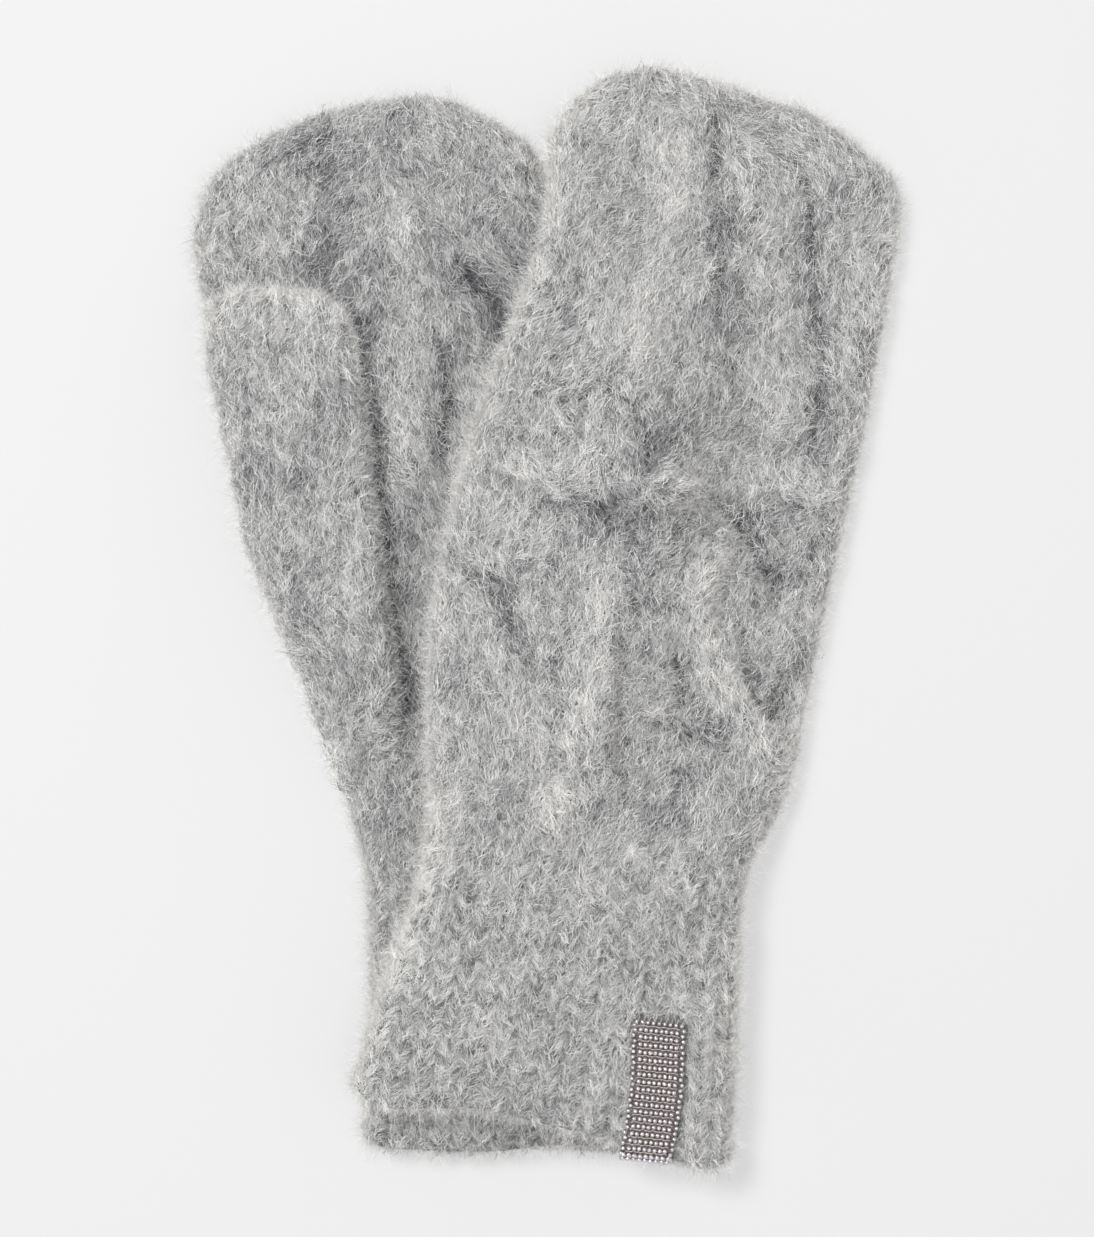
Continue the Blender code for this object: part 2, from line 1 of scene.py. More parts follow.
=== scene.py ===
"""The looks of a pair of brushed knitted mittens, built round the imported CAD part.

The left mitten lies palm up, the right one on it with its cable-patterned back up. Each mitten is one
knitted skin with stitches, ribs and cables in relief, under a coat of brushed fibres made as fine tapered
ribbons. Lengths are in millimetres and are scaled to metres as each mesh is made. The outlines and the
heights repeat part.py's own driving values.
"""

import math

import bpy
import numpy as np
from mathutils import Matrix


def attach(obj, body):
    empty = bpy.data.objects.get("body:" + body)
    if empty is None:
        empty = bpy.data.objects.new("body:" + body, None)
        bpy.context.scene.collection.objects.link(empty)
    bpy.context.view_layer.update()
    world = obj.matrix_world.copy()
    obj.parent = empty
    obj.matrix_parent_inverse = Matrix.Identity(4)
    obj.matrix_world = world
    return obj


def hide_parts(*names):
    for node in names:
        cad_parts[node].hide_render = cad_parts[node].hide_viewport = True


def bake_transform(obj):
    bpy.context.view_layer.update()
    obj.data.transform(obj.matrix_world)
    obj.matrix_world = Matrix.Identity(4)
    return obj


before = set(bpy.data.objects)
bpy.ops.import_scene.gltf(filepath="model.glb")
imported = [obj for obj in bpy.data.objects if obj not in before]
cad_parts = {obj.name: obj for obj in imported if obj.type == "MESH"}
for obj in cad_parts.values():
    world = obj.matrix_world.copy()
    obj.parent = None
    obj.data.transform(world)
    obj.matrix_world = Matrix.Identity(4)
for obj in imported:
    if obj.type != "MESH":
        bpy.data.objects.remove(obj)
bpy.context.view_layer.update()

MM = 0.001

# ------------------------ the CAD part's own sizes

HAND_THICK = 9.4
HAND_WALL = 2.2
THUMB_THICK = 8.6
EDGE_ROUND = 7.0
THUMB_ROUND = 6.5
LAYER_GAP = 1.2
WRIST_Y = -64.0
DROOP_WIDTH = 28.0
THUMB_BULGE_WIDTH = 26.0
TABLE_GAP = 0.4
GAP = 0.3
TAB_WIDTH = 13.0
TAB_LENGTH = 36.2
RIBBON_THICK = 0.8
RIBBON_TURNED_IN = 8.0
RISE_FOR_TAB = 2.9      # how far the left cuff's lower wall gives way to its tab
RISE_MARGIN = 6.0

LEFT = {
    "thumb_side": [(-136, -47), (-99, -45.5), (-70, -46), (-50, -50), (-30, -54.5), (-5, -63.5), (20, -73),
                   (50, -81), (75, -86.5), (97, -90), (108, -88), (118, -79.5), (126, -65), (131, -49),
                   (133, -38)],
    "outer_side": [(-138, 36), (-100, 37), (-64, 38), (-40, 38), (0, 33), (50, 17), (95, 3), (108, 0.5),
                   (118, -3), (126, -12.5), (131, -22), (133, -30)],
    "cuff_end": [(-47, -134), (-42, -136), (-17, -137), (3, -135.5), (20, -136), (36, -137)],
    "tip_y": 133.0,
}
RIGHT = {
    "thumb_side": [(-119, -49.5), (-100, -44), (-84, -38.6), (-66, -32.5), (-45, -29.5), (-20, -29.8),
                   (0, -28.5), (27, -23.5), (58, -14.6), (93, -2), (109, 0.8), (119, 0.4), (127, 3.6),
                   (133, 8.2), (138, 16), (140, 24)],
    "outer_side": [(-138, 46.8), (-107, 48.3), (-76, 49.3), (-64, 51.3), (-54, 56.4), (-43, 61.5), (-16, 67),
                   (15, 73.6), (55, 82), (93, 88.5), (105, 90), (111, 89), (116, 84.5), (122.5, 76.7),
                   (129, 66.5), (133, 54), (138, 38.6), (140, 31)],
    "cuff_end": [(-49.5, -119), (-45, -123), (-37.4, -124.5), (-19.6, -124.5), (-2, -128), (18, -133),
                 (34, -138), (42, -140), (46.8, -138)],
    "tip_y": 140.0,
}
# Thumbs: both sides as (share, x, y), from the gusset's root below 0 through the fold at 0 to the tip at 1
LEFT_THUMB = {
    "outer": [(-0.6, -53, -44), (-0.3, -64, -12), (0, -75, 17), (0.35, -80.5, 42), (0.7, -86.2, 70),
              (0.9, -85.5, 78.5), (1, -79, 82.5)],
    "inner": [(-0.6, -42, -44), (-0.3, -39, -31), (0, -38.5, -20.5), (0.3, -43.5, 20), (0.65, -47.2, 55),
              (0.9, -51.5, 76.5), (1, -58, 81.5)],
    "fold": ((-75, 17), (-38.5, -20.5)),
}
RIGHT_THUMB = {
    "outer": [(-0.6, -25, -36), (-0.3, -23, -2), (0, -20, 28), (0.35, -14, 48), (0.7, -4.5, 77),
              (0.9, -1, 88), (1, 6, 92.5)],
    "inner": [(-0.6, -12, -36), (-0.3, -1, -27), (0, 9, -16), (0.3, 17, 20), (0.65, 28, 58), (0.9, 34, 83),
              (1, 28, 91.5)],
    "fold": ((-20, 28), (9, -16)),
}
LEFT_TAB = {"top": (15.0, -101.5), "lean": math.radians(-3)}
RIGHT_TAB = {"top": (28.2, -101.8), "lean": math.radians(-6)}

# ------------------------ the knitting, the fibres and the light

GRID = 0.8              # spacing of the skin's points along the hand
ACROSS = 92             # points across the flat part of a hand, and of a thumb
THUMB_ACROSS = 34
WALE = 5.8              # pitch of the columns of stitches
COURSE = 4.6            # pitch of the rows of stitches
LEG_SLANT = 1.8         # rows that a stitch's leg rises over a whole wale
LEG_ANGLE = 0.60        # of the legs, from straight up
MITTEN_WIDTH = 88.0     # where it is widest, for counting wales
LINING = 36.0           # how far the lining is made, in from the cuff's edge
EDGE_SETBACK = 1.8      # the skin ends this far inside the cuff's edge, where its fibres reach
SHADES = ((0.055, 0.057, 0.062), (0.17, 0.174, 0.18), (0.34, 0.343, 0.346), (0.54, 0.54, 0.533),
          (0.75, 0.745, 0.728), (0.94, 0.93, 0.90))    # the wool's fibres, dark to pale
SHADE_STEPS = (-1.5, -0.9, -0.3, 0.35, 1.1)
PAINTED_LIGHT_EDGE = 3.6         # how far in the fibres are painted paler at the fabric's sides: painted light
LOCK = 9                # fibres that run together
TOP_DENSITY = 7.5       # fibres to a square millimetre, where they show
HIDDEN_DENSITY = 3.0    # under the other mitten
UNDER_DENSITY = 2.4     # on the undersides
HALO_DENSITY = 19.0     # of the fine fibres at the sides
FIBRE_WIDTH = 0.135
HALO_WIDTH = 0.062
FIBRE_LENGTHS = (3.6, 8.0)
STRAYS = 0.14           # the share of fibres that leave their lock
STEEP = 0.3             # slope of the relief at which the fibres follow its ridges
SIDE_LIFT = 0.25        # how far the skin has curved down where its coat is thick again
PIECE_FACES = 190000    # most faces in one mesh

# The light: the paper's own glow, and each lamp's name, place, size in metres and power
FLOOR_GLOW = 0.45
VIEW_HEIGHT = 0.3135    # metres that the camera sees from top to bottom
AIM_HEIGHT = 0.015      # at this height above the table
LAMPS = (("key", (-0.55, 0.45, 1.5), 0.5, 21.0), ("fill", (0.25, -0.2, 1.7), 1.2, 8.0))

# The tabs
BALL_RADIUS = 0.64
EDGE_BALL_RADIUS = 0.7  # round the cuff's edge
BALL_GAP = 0.1          # between the ribbon and the balls
BALL_PITCH = 1.3
ROW_PITCH = 1.87
TAB_ROWS = 17
ROW_BALLS = 8
EDGE_BALLS = 25         # down each side of a tab, with their pitch and place
EDGE_PITCH = 1.36
EDGE_PLACE = 6.3
CROWDED_ROWS = ((0.1, 0.56), (33.8, EDGE_BALL_RADIUS), (35.5, EDGE_BALL_RADIUS), (37.2, EDGE_BALL_RADIUS))
CROWDED_BALLS = 9
CROWDED_PITCH = 1.42
BALL_LIFT = GAP + RIBBON_THICK + BALL_GAP + BALL_RADIUS
FIRST_ROW = 2.0         # from the tab's top
RIBBON_START = -0.4
RIBBON_END = TAB_LENGTH + 2.0 * math.pi + RIBBON_TURNED_IN - 2.0
THREAD_RADIUS = 0.13
STITCH_RADIUS = 0.16
TAB_BOW = [(0, 0), (8, 0.5), (17, 1.0), (25, 0.8), (31, 0.3), (40, -0.4)]   # (reach, sideways)


# ------------------------ curves and profiles, as in the CAD

def smoothstep(t):
    t = np.clip(t, 0.0, 1.0)
    return t * t * (3 - 2 * t)


def through(knots):
    """A smooth function through (t, value) knots that never overshoots them."""
    t, v = (np.array(column, float) for column in zip(*sorted(knots)))
    step = np.diff(t)
    rise = np.diff(v) / step
    same = rise[:-1] * rise[1:] > 0
    mean = np.where(same, 2 * rise[:-1] * rise[1:] / np.where(same, rise[:-1] + rise[1:], 1), 0)
    slope = np.concatenate([[rise[0]], mean, [rise[-1]]])

    def value(at):
        at = np.clip(np.asarray(at, float), t[0], t[-1])
        i = np.clip(np.searchsorted(t, at, side="right") - 1, 0, len(step) - 1)
        s = (at - t[i]) / step[i]
        return ((2 * s**3 - 3 * s**2 + 1) * v[i] + (s**3 - 2 * s**2 + s) * step[i] * slope[i]
                + (3 * s**2 - 2 * s**3) * v[i + 1] + (s**3 - s**2) * step[i] * slope[i + 1])

    return value


def distance_to(line, x, y):
    """How far each point (x, y) is from an open polyline."""
    least = np.full(x.shape, np.inf)
    for (ax, ay), (bx, by) in zip(line[:-1], line[1:]):
        dx, dy = bx - ax, by - ay
        length = dx * dx + dy * dy
        if length < 1e-12:
            continue
        t = np.clip(((x - ax) * dx + (y - ay) * dy) / length, 0, 1)
        least = np.minimum(least, np.hypot(x - ax - t * dx, y - ay - t * dy))
    return least


def swell(distance, width=EDGE_ROUND):
    """A quarter ellipse, from 0 at a side to 1 where the fabric lies flat."""
    return np.sqrt(1 - (1 - np.clip(distance / width, 0, 1)) ** 2)


left_outer_side = through(LEFT["outer_side"])


def droop(x, y):
    """1 on top of the left mitten, falling to 0 past its right side."""
    return 1 - smoothstep((x - left_outer_side(y) - 1) / DROOP_WIDTH)


def over_thumb(x, y):
    """1 over the right thumb and its gusset, falling to 0 around them."""
    knots = [knot for knot in RIGHT_THUMB["inner"] if knot[0] >= 0]
    inner = through([(knot[2], knot[1]) for knot in knots[:-1]])
    sideways = 1 - smoothstep((x - inner(np.minimum(y, knots[-2][2])) - 5) / THUMB_BULGE_WIDTH)
    wristward = smoothstep((y - WRIST_Y + 2) / 48)
    tipward = 1 - smoothstep((y - knots[-1][2] - 3) / 24)
    return sideways * wristward * tipward


def on_left_mitten(x, y):
    return TABLE_GAP + droop(x, y) * (HAND_THICK + LAYER_GAP - TABLE_GAP)


def right_base(x, y):
    return on_left_mitten(x, y) + over_thumb(x, y) * (THUMB_THICK + LAYER_GAP)


def tab_frame(tab):
    """The tab's top, and its directions across (to +X) and down."""
    lean = tab["lean"]
    down = np.array([math.sin(lean), -math.cos(lean)])
    return np.array(tab["top"]), np.array([-down[1], down[0]]), down


def from_tab_top(tab, x, y):
    """How far points lie down a tab and across it."""
    top, across, down = tab_frame(tab)
    return ((x - top[0]) * down[0] + (y - top[1]) * down[1],
            (x - top[0]) * across[0] + (y - top[1]) * across[1])


def rise_for_left_tab(x, y):
    """How much the left cuff's lower wall rises over the tab that it lies on."""
    reach, across = from_tab_top(LEFT_TAB, x, y)
    outside = np.abs(across) - TAB_WIDTH / 2
    near = (1 - smoothstep(outside / RISE_MARGIN - 0.9)) * (1 - smoothstep(-reach / RISE_MARGIN - 1.5))
    return RISE_FOR_TAB * near


def nowhere(x, y):
    """0 at every point."""
    return np.zeros_like(x)


# ------------------------ noise and strokes

def noise(x, y, size, seed):
    """Smooth random values from -1 to 1 that change over about size millimetres."""
    cells = 128
    values = np.random.default_rng(seed).uniform(-1, 1, (cells, cells))
    gx, gy = x / size + 31.7, y / size + 17.3
    i, j = np.floor(gx).astype(int), np.floor(gy).astype(int)
    fx, fy = smoothstep(gx - i), smoothstep(gy - j)
    i0, i1, j0, j1 = i % cells, (i + 1) % cells, j % cells, (j + 1) % cells
    low = values[i0, j0] * (1 - fx) + values[i1, j0] * fx
    high = values[i0, j1] * (1 - fx) + values[i1, j1] * fx
    return low * (1 - fy) + high * fy


def strokes(x, y, drawn):
    """The sum of soft strokes, each (height, half width, points it runs through)."""
    total = np.zeros_like(x)
    for height, half, points in drawn:
        px, py = np.array(points, float).T
        t = np.concatenate([[0], np.cumsum(np.hypot(np.diff(px), np.diff(py)))])
        fine = np.linspace(0, t[-1], max(2, int(t[-1] / 2.5)))
        line = np.stack([through(zip(t, px))(fine), through(zip(t, py))(fine)], -1)
        near = ((x > px.min() - 3 * half) & (x < px.max() + 3 * half)
                & (y > py.min() - 3 * half) & (y < py.max() + 3 * half))
        away = distance_to(line, x[near], y[near])
        total[near] += height * np.exp(-((away / half) ** 2) * 1.2)
    return total


# Ridges and grooves on the right mitten's back: the crossed cables, their pockets and the folds between them
BACK_RELIEF = [
    # the left rope, the groove beside it and the ladder of bars between the ropes
    (1.1, 5.0, [(1, -53), (8, -30), (12, -10), (15, 6)]),
    (-3.3, 1.7, [(18, -6), (18.3, -18), (17.8, -30), (18, -38)]),
    (-1.9, 1.5, [(32, -9), (32.4, -16), (32, -23)]),
    (0.8, 1.0, [(21, -15), (26, -14), (31, -16)]),
    (0.8, 1.0, [(21, -19.5), (26, -19), (31, -20.5)]),
    (0.8, 1.0, [(21, -24), (26.5, -23), (32, -25)]),
    (-1.0, 2.4, [(21, 3), (27, 2), (34, 3)]),
    (-1.0, 1.8, [(28, -27), (35, -30), (42, -32)]),
    (-1.0, 2.4, [(3, -38), (6, -40), (9, -39)]),
    # the right rope, the dark arch round its top and the pocket beside its foot
    (1.4, 3.2, [(57, -34), (49.5, -23), (41.5, -11), (37.5, 4), (42, 16)]),
    (-2.2, 2.0, [(16, 24), (23, 26), (30, 25), (37, 27.7), (42, 27.7), (48, 24), (51.5, 18.5), (55, 12),
                 (58, 5.5)]),
    (-1.7, 2.2, [(50, -13), (53, -23), (58, -27)]),
    (-1.3, 2.4, [(65, -10), (61, -18), (57, -25)]),
    (-0.8, 1.5, [(52, 25), (62, 26.5), (72, 25.5)]),
    (0.5, 3.0, [(27, 33), (33, 34)]),
    (0.8, 3.0, [(50, 36), (58, 35), (70, 33)]),
    # arcs and shallow folds over the palm's middle
    (-1.0, 3.0, [(2, 28), (8, 28.5), (13, 27)]),
    (-1.1, 2.2, [(24, 48), (25.5, 42), (24, 37)]),
    (-0.5, 2.6, [(-12, 6), (-8, -2), (-4, -10)]),
    (-0.6, 3.6, [(-22, 13), (-17, 10), (-12, 7)]),
    (-1.0, 1.5, [(3, 54), (12, 56), (20, 53), (24, 47)]),
    (0.8, 3.4, [(-8, 38), (2, 36), (14, 42)]),
    (0.8, 3.2, [(-14, -14), (-6, -26), (0, -40), (2, -54)]),
    (-0.9, 1.6, [(2, -12), (4, -24)]),
    (-0.9, 1.6, [(36, -38), (32, -46), (34, -54)]),
    # long shallow folds towards the fingertips
    (-1.1, 1.8, [(43, 128), (43, 108), (43.5, 90), (43, 76)]),
    (0.7, 4.5, [(50, 120), (54, 96), (58, 72), (56, 50)]),
    (0.7, 4.5, [(32, 122), (30, 100), (26, 80), (20, 62)]),
    (-0.8, 2.0, [(66, 110), (68, 88), (70, 66), (68, 46)]),
]
# The folded thumb's hollow on the left palm
PALM_RELIEF = [
    (-1.3, 2.2, [(-26, 66), (-25, 54), (-28, 40)]),
    (-0.9, 3.2, [(-20, 88), (-12, 76), (-8, 60)]),
    (0.9, 5.0, [(-36, 100), (-34, 80), (-35, 60), (-33, 40)]),
    (0.8, 4.0, [(-16, 60), (-18, 44), (-22, 28)]),
]


# ------------------------ stitches

def sides_of(shape):
    return through(shape["thumb_side"]), through(shape["outer_side"])


def wales_of(shape):
    """A function that counts the columns of stitches from the thumb's side to any point."""
    side, other = sides_of(shape)
    wales = round(MITTEN_WIDTH / WALE)
    return lambda x, y: (x - side(y)) / np.maximum(other(y) - side(y), 30.0) * wales


def stitch_relief(wale, course):
    """Columns of V-shaped stitches: each wale holds two slanted legs."""
    f = wale % 1.0
    leg = np.abs(np.sin(2 * math.pi * f)) ** 0.6
    return leg * (0.55 + 0.45 * np.cos(2 * math.pi * (course - LEG_SLANT * np.abs(f - 0.5))))


def stitch_painted_shade(wale, course):
    """Painted shade below 0 in the hollows between the legs of the stitches, and painted light above it on
    the legs.
    """
    f = wale % 1.0
    leg = course - LEG_SLANT * np.abs(f - 0.5) + 0.5
    under_leg = np.exp(-((leg - np.round(leg)) * COURSE / 1.0) ** 2)
    beside = np.exp(-((np.minimum(f, 1 - f) * WALE) / 0.7) ** 2)
    centre = np.exp(-(((f - 0.5) * WALE) / 0.5) ** 2)
    return 0.55 - 1.0 * under_leg - 0.9 * beside - 0.3 * centre


def between_wales(wale):
    """1 in the gap between two wales, 0 on them."""
    f = wale - np.round(wale)
    return np.exp(-((f / 0.16) ** 2))


# ------------------------ the skins

def shares_across(width, columns):
    """Shares from one side to the other, closer together where the fabric curves down."""
    turn = np.linspace(0, math.pi / 2, 11)
    near = EDGE_ROUND * (1 - np.cos(turn)) * min(1.0, 0.36 * width / EDGE_ROUND)
    middle = np.linspace(near[-1], width - near[-1], columns + 2)[1:-1]
    return np.concatenate([near, middle, width - near[::-1]]) / width


def hand_and_cuff_plan(shape):
    """Points in the table's plane, in rows from the cuff's edge to the fingertips."""
    side, other = sides_of(shape)
    edge = through([(x, y + EDGE_SETBACK) for x, y in shape["cuff_end"]])
    (x0, y0), (x1, y1) = shape["cuff_end"][0], shape["cuff_end"][-1]
    tip = shape["tip_y"]
    rows = []
    share = shares_across(x1 - x0, ACROSS)
    end_y = edge(x0 + (x1 - x0) * share)
    cuff_rows = int(round((WRIST_Y - y0) / GRID))
    for up in np.linspace(0, 1, cuff_rows, endpoint=False):
        a, b = side(y0 + (WRIST_Y - y0) * up), other(y1 + (WRIST_Y - y1) * up)
        rows.append(np.stack([a + (b - a) * share, end_y + (WRIST_Y - end_y) * up], -1))
    straight = np.arange(WRIST_Y, tip - EDGE_ROUND, GRID)
    rounded = tip - EDGE_ROUND * (1 - np.sin(np.linspace(0, math.pi / 2, 14)))
    for y in (*straight, *rounded):
        a, b = float(side(y)), float(other(y))
        share = shares_across(b - a, ACROSS)
        rows.append(np.stack([a + (b - a) * share, np.full_like(share, y)], -1))
    return np.array(rows)


def unit(v):
    return v / np.maximum(np.linalg.norm(v, axis=-1, keepdims=True), 1e-9)


def grid_normals(points):
    """Outward normals and directions up the rows of a ring grid, rows by columns by xyz."""
    around = np.roll(points, -1, axis=1) - np.roll(points, 1, axis=1)
    up = np.gradient(points, axis=0)
    return unit(np.cross(around, up)), unit(up)


def ring(upper, lower):
    """Rows of the upper layer's points or values to the far side, then of the lower layer's back again."""
    return np.concatenate([upper, lower[:, -2:0:-1]], axis=1)


def layers(x, y, middle, half):
    """Points of the upper layer and of the lower one."""
    return np.stack([x, y, middle + half], -1), np.stack([x, y, middle - half], -1)


def cuff_lining(shape, base, lower_rise):
    """Rows of the cuff's inside, from deep inside to its edge, and the rounded rim."""
    plan = hand_and_cuff_plan(shape)[:int(LINING / GRID)]
    x, y = plan[..., 0], plan[..., 1]
    left, right = plan[:, :1, 0], plan[:, -1:, 0]
    centre = (left + right) / 2
    inset = 1 - HAND_WALL / ((right - left) / 2)
    lift = swell(np.minimum(distance_to(plan[:, 0], x, y), distance_to(plan[:, -1], x, y)))
    middle = base(x, y) + HAND_THICK / 2
    half = (HAND_THICK / 2 - HAND_WALL) * lift
    x = centre + (x - centre) * inset
    upper, lower = layers(x, y, middle, half)
    lower[..., 2] += lower_rise(x, y)
    return ring(upper, lower)[::-1]


def rim_rows(inner, outer, steps=4):
    """Rows that turn from the lining's last row round to the outside's first."""
    rows = []
    for turn in np.linspace(0, math.pi, steps + 2)[1:-1]:
        mixed = inner + (outer - inner) * (1 - math.cos(turn)) / 2
        mixed[:, 1] -= HAND_WALL / 2 * math.sin(turn)
        rows.append(mixed)
    return np.array(rows)


def off_tab(x, y, tab):
    """0 under a tab, 1 well away from it."""
    reach, across = from_tab_top(tab, x, y)
    sideways = np.abs(across - through(TAB_BOW)(reach)) - TAB_WIDTH / 2
    outside = np.maximum(sideways, np.maximum(-reach - 1.2, reach - TAB_LENGTH - 3))
    return smoothstep((outside - 0.1) / 1.1)


def mitten_relief(shape, plan, cuff, relief):
    """The height of the fabric above its mean, and the broad part of it, which also paints shade and light
    into the fibres' colour.
    """
    x, y = plan[..., 0], plan[..., 1]
    wale = wales_of(shape)(x, y)
    from_edge = distance_to(plan[0], x, y)
    stitches = stitch_relief(wale, y / COURSE) * (0.35 + 0.45 * cuff)
    gaps = between_wales(wale) * (0.25 + 0.85 * cuff)
    roll = 0.9 * np.exp(-((from_edge - 1.9) / 1.5) ** 2)
    scallop = 0.4 * np.cos(2 * math.pi * x / 2.3) * np.exp(-((from_edge - 2.2) / 1.4) ** 2)
    line = 1.3 * np.exp(-((from_edge - 4.4) / 0.8) ** 2)
    plain = stitches - gaps + roll + scallop - line
    big = 0.3 * noise(x, y, 14, 5) + 0.3 * noise(x, y, 6, 6)
    above, below = big + 1.7 * strokes(x, y, relief), 0.5 * noise(x + 300, y, 14, 5)
    return ring(plain + above, plain + below), ring(above, below)


def mitten_density(plan, lift, tab, tab_above, hidden):
    """Fibres to a square millimetre: full where they show, and none under the tab."""
    x, y = plan[..., 0], plan[..., 1]
    above = HIDDEN_DENSITY + (TOP_DENSITY - HIDDEN_DENSITY) * (1 - hidden(x, y))
    density = ring(above, np.full_like(x, UNDER_DENSITY))
    by_tab, elsewhere = off_tab(x, y, tab), np.ones_like(x)
    density *= ring(by_tab, elsewhere) if tab_above else ring(elsewhere, by_tab)
    side = (1 - ring(lift, lift)) > SIDE_LIFT
    density[side] = np.maximum(density[side], TOP_DENSITY * 0.6)
    return density


def mitten_skin(shape, base, relief, tab, tab_above, hidden=nowhere, lower_rise=nowhere):
    """The hand and the cuff as one ring grid, with the stitches in relief and the cuff's lining."""
    plan = hand_and_cuff_plan(shape)
    x, y = plan[..., 0], plan[..., 1]
    columns = x.shape[1]
    outline = np.concatenate([plan[:, 0], plan[-1, 1:-1], plan[::-1, -1]])[::3]
    from_side = distance_to(outline, x, y)
    # edge: painted light, paler fibres near the sides
    lift, edge = swell(from_side), np.exp(-((from_side / PAINTED_LIGHT_EDGE) ** 2))
    middle = base(x, y) + HAND_THICK / 2
    upper, lower = layers(x, y, middle, HAND_THICK / 2 * lift)
    lower[..., 2] += lower_rise(x, y)
    points = ring(upper, lower)
    normal, _ = grid_normals(points)
    cuff = 1 - smoothstep((y - WRIST_Y + 4) / 16)
    height, broad = mitten_relief(shape, plan, cuff, relief)
    height *= ring(lift, lift) * 0.7 + 0.3
    height[:, columns:] *= 0.6
    moved = points + normal * (height - 0.6)[..., None]
    moved[..., 2] = np.maximum(moved[..., 2], 0.15)

    lining = cuff_lining(shape, base, lower_rise)
    rim = rim_rows(lining[-1], moved[0])
    extra = len(lining) + len(rim)
    pad = ((extra, 0), (0, 0))
    density = np.pad(mitten_density(plan, lift, tab, tab_above, hidden), pad)
    density[len(lining):extra] = TOP_DENSITY * 0.7
    return {"points": np.concatenate([lining, rim, moved]), "relief": np.pad(height, pad), "top": columns,
            "broad": np.pad(broad, pad), "density": density,
            "edge": np.pad(ring(edge, edge), pad, mode="edge"),
            "lean": np.pad(ring(cuff, cuff) * 0.7 + 0.3, pad, mode="edge"), "wale_at": wales_of(shape)}


def thumb_skin(thumb, low_of, high_of, densities):
    """A thumb with its gusset as one ring grid, from the gusset's root to the thumb's tip."""
    tip = 1 - 0.1 * (1 - np.sin(np.linspace(0, math.pi / 2, 12)))
    share = np.concatenate([np.arange(-0.6, 0.9, 0.011), tip])
    sides = [np.stack([through([(k[0], k[axis]) for k in thumb[name]])(share) for axis in (1, 2)], -1)
             for name in ("outer", "inner")]
    plan = np.array([a + (b - a) * shares_across(float(np.hypot(*(b - a))), THUMB_ACROSS)[:, None]
                     for a, b in zip(*sides)])
    x, y = plan[..., 0], plan[..., 1]
    t = np.repeat(share[:, None], x.shape[1], axis=1)
    outline = np.concatenate([plan[:, 0], plan[-1, 1:-1], plan[::-1, -1]])[::2]
    low, high = low_of(x, y, t), high_of(x, y, t)
    half = np.maximum((high - low) / 2, 0.3)
    from_side = distance_to(outline, x, y)
    # edge: painted light, paler fibres near the thumb's sides
    lift, edge = swell(from_side, THUMB_ROUND), np.exp(-((from_side / 2.6) ** 2))
    middle = (high + low) / 2
    points = ring(*layers(x, y, middle, half * lift))
    normal, _ = grid_normals(points)
    wale = np.linspace(0, 1, x.shape[1])[None, :] * 7
    broad = 0.45 * noise(x, y, 7, 11)
    height = 0.4 * stitch_relief(wale, y / COURSE) + broad
    moved = points + normal * (ring(height, height) - 0.5)[..., None]
    density = ring(*(np.full_like(x, each) for each in densities))
    side = (1 - ring(lift, lift)) > SIDE_LIFT
    density[side] = np.maximum(density[side], TOP_DENSITY * 0.5)
    buried = ring(t, t) < -0.12
    density[buried & (np.arange(density.shape[1]) >= x.shape[1])] = 0.0
    return {"points": moved, "relief": ring(height, height), "top": x.shape[1], "broad": ring(broad, broad),
            "density": density, "edge": ring(edge, edge),
            "lean": np.full_like(density, 0.4), "wale_at": lambda x, y: x / WALE}


# ------------------------ meshes and materials

def mesh_piece(name, points, faces, finish):
    """A smooth mesh from arrays of points in millimetres and of faces, all triangles or all quads."""
    mesh = bpy.data.meshes.new(name)
    points = np.asarray(points, np.float32).reshape(-1, 3) * MM
    faces = np.asarray(faces, np.int32)
    count, corners = faces.shape
    mesh.vertices.add(len(points))
    mesh.vertices.foreach_set("co", points.ravel())
    mesh.loops.add(count * corners)
    mesh.loops.foreach_set("vertex_index", faces.ravel())
    mesh.polygons.add(count)
    mesh.polygons.foreach_set("loop_start", np.arange(count, dtype=np.int32) * corners)
    mesh.polygons.foreach_set("loop_total", np.full(count, corners, np.int32))
    mesh.update(calc_edges=True)
    mesh.validate()
    mesh.materials.append(finish)
    mesh.shade_smooth()
    made = bpy.data.objects.new(name, mesh)
    bpy.context.scene.collection.objects.link(made)
    return made


def ring_faces(rows, columns):
    r, c = np.meshgrid(np.arange(rows - 1), np.arange(columns), indexing="ij")
    n = (c + 1) % columns
    return np.stack([r * columns + c, r * columns + n, (r + 1) * columns + n, (r + 1) * columns + c],
                    -1).reshape(-1, 4)


def capped_ring_faces(rows, top):
    """A closed band's triangles: a ring grid, top points over its width, and its two ends."""
    columns = 2 * top - 2
    around = ring_faces(rows, columns)
    over = np.arange(top)
    under = (columns - over) % columns
    pairs = zip(over[:-1], over[1:], under[1:], under[:-1])
    end = np.array([face for a, b, c, d in pairs for face in ((a, b, c), (a, c, d)) if len(set(face)) == 3])
    far_end = end + (rows - 1) * columns
    return np.concatenate([around[:, [0, 1, 2]], around[:, [0, 2, 3]], end[:, ::-1], far_end])


def set_inputs(node, values):
    for name, value in values.items():
        node.inputs[name].default_value = value


def new_material(name, **values):
    """A material whose shader's plain values are given with _ for the spaces in their names."""
    made = bpy.data.materials.new(name)
    made.use_nodes = True
    tree = made.node_tree
    shader = tree.nodes["Principled BSDF"]
    set_inputs(shader, {key.replace("_", " "): value for key, value in values.items()})
    return made, tree.nodes, tree.links, shader


def noise_node(nodes, links, place, scale, detail):
    made = nodes.new("ShaderNodeTexNoise")
    set_inputs(made, {"Scale": scale, "Detail": detail})
    links.new(place.outputs["Object"], made.inputs["Vector"])
    return made


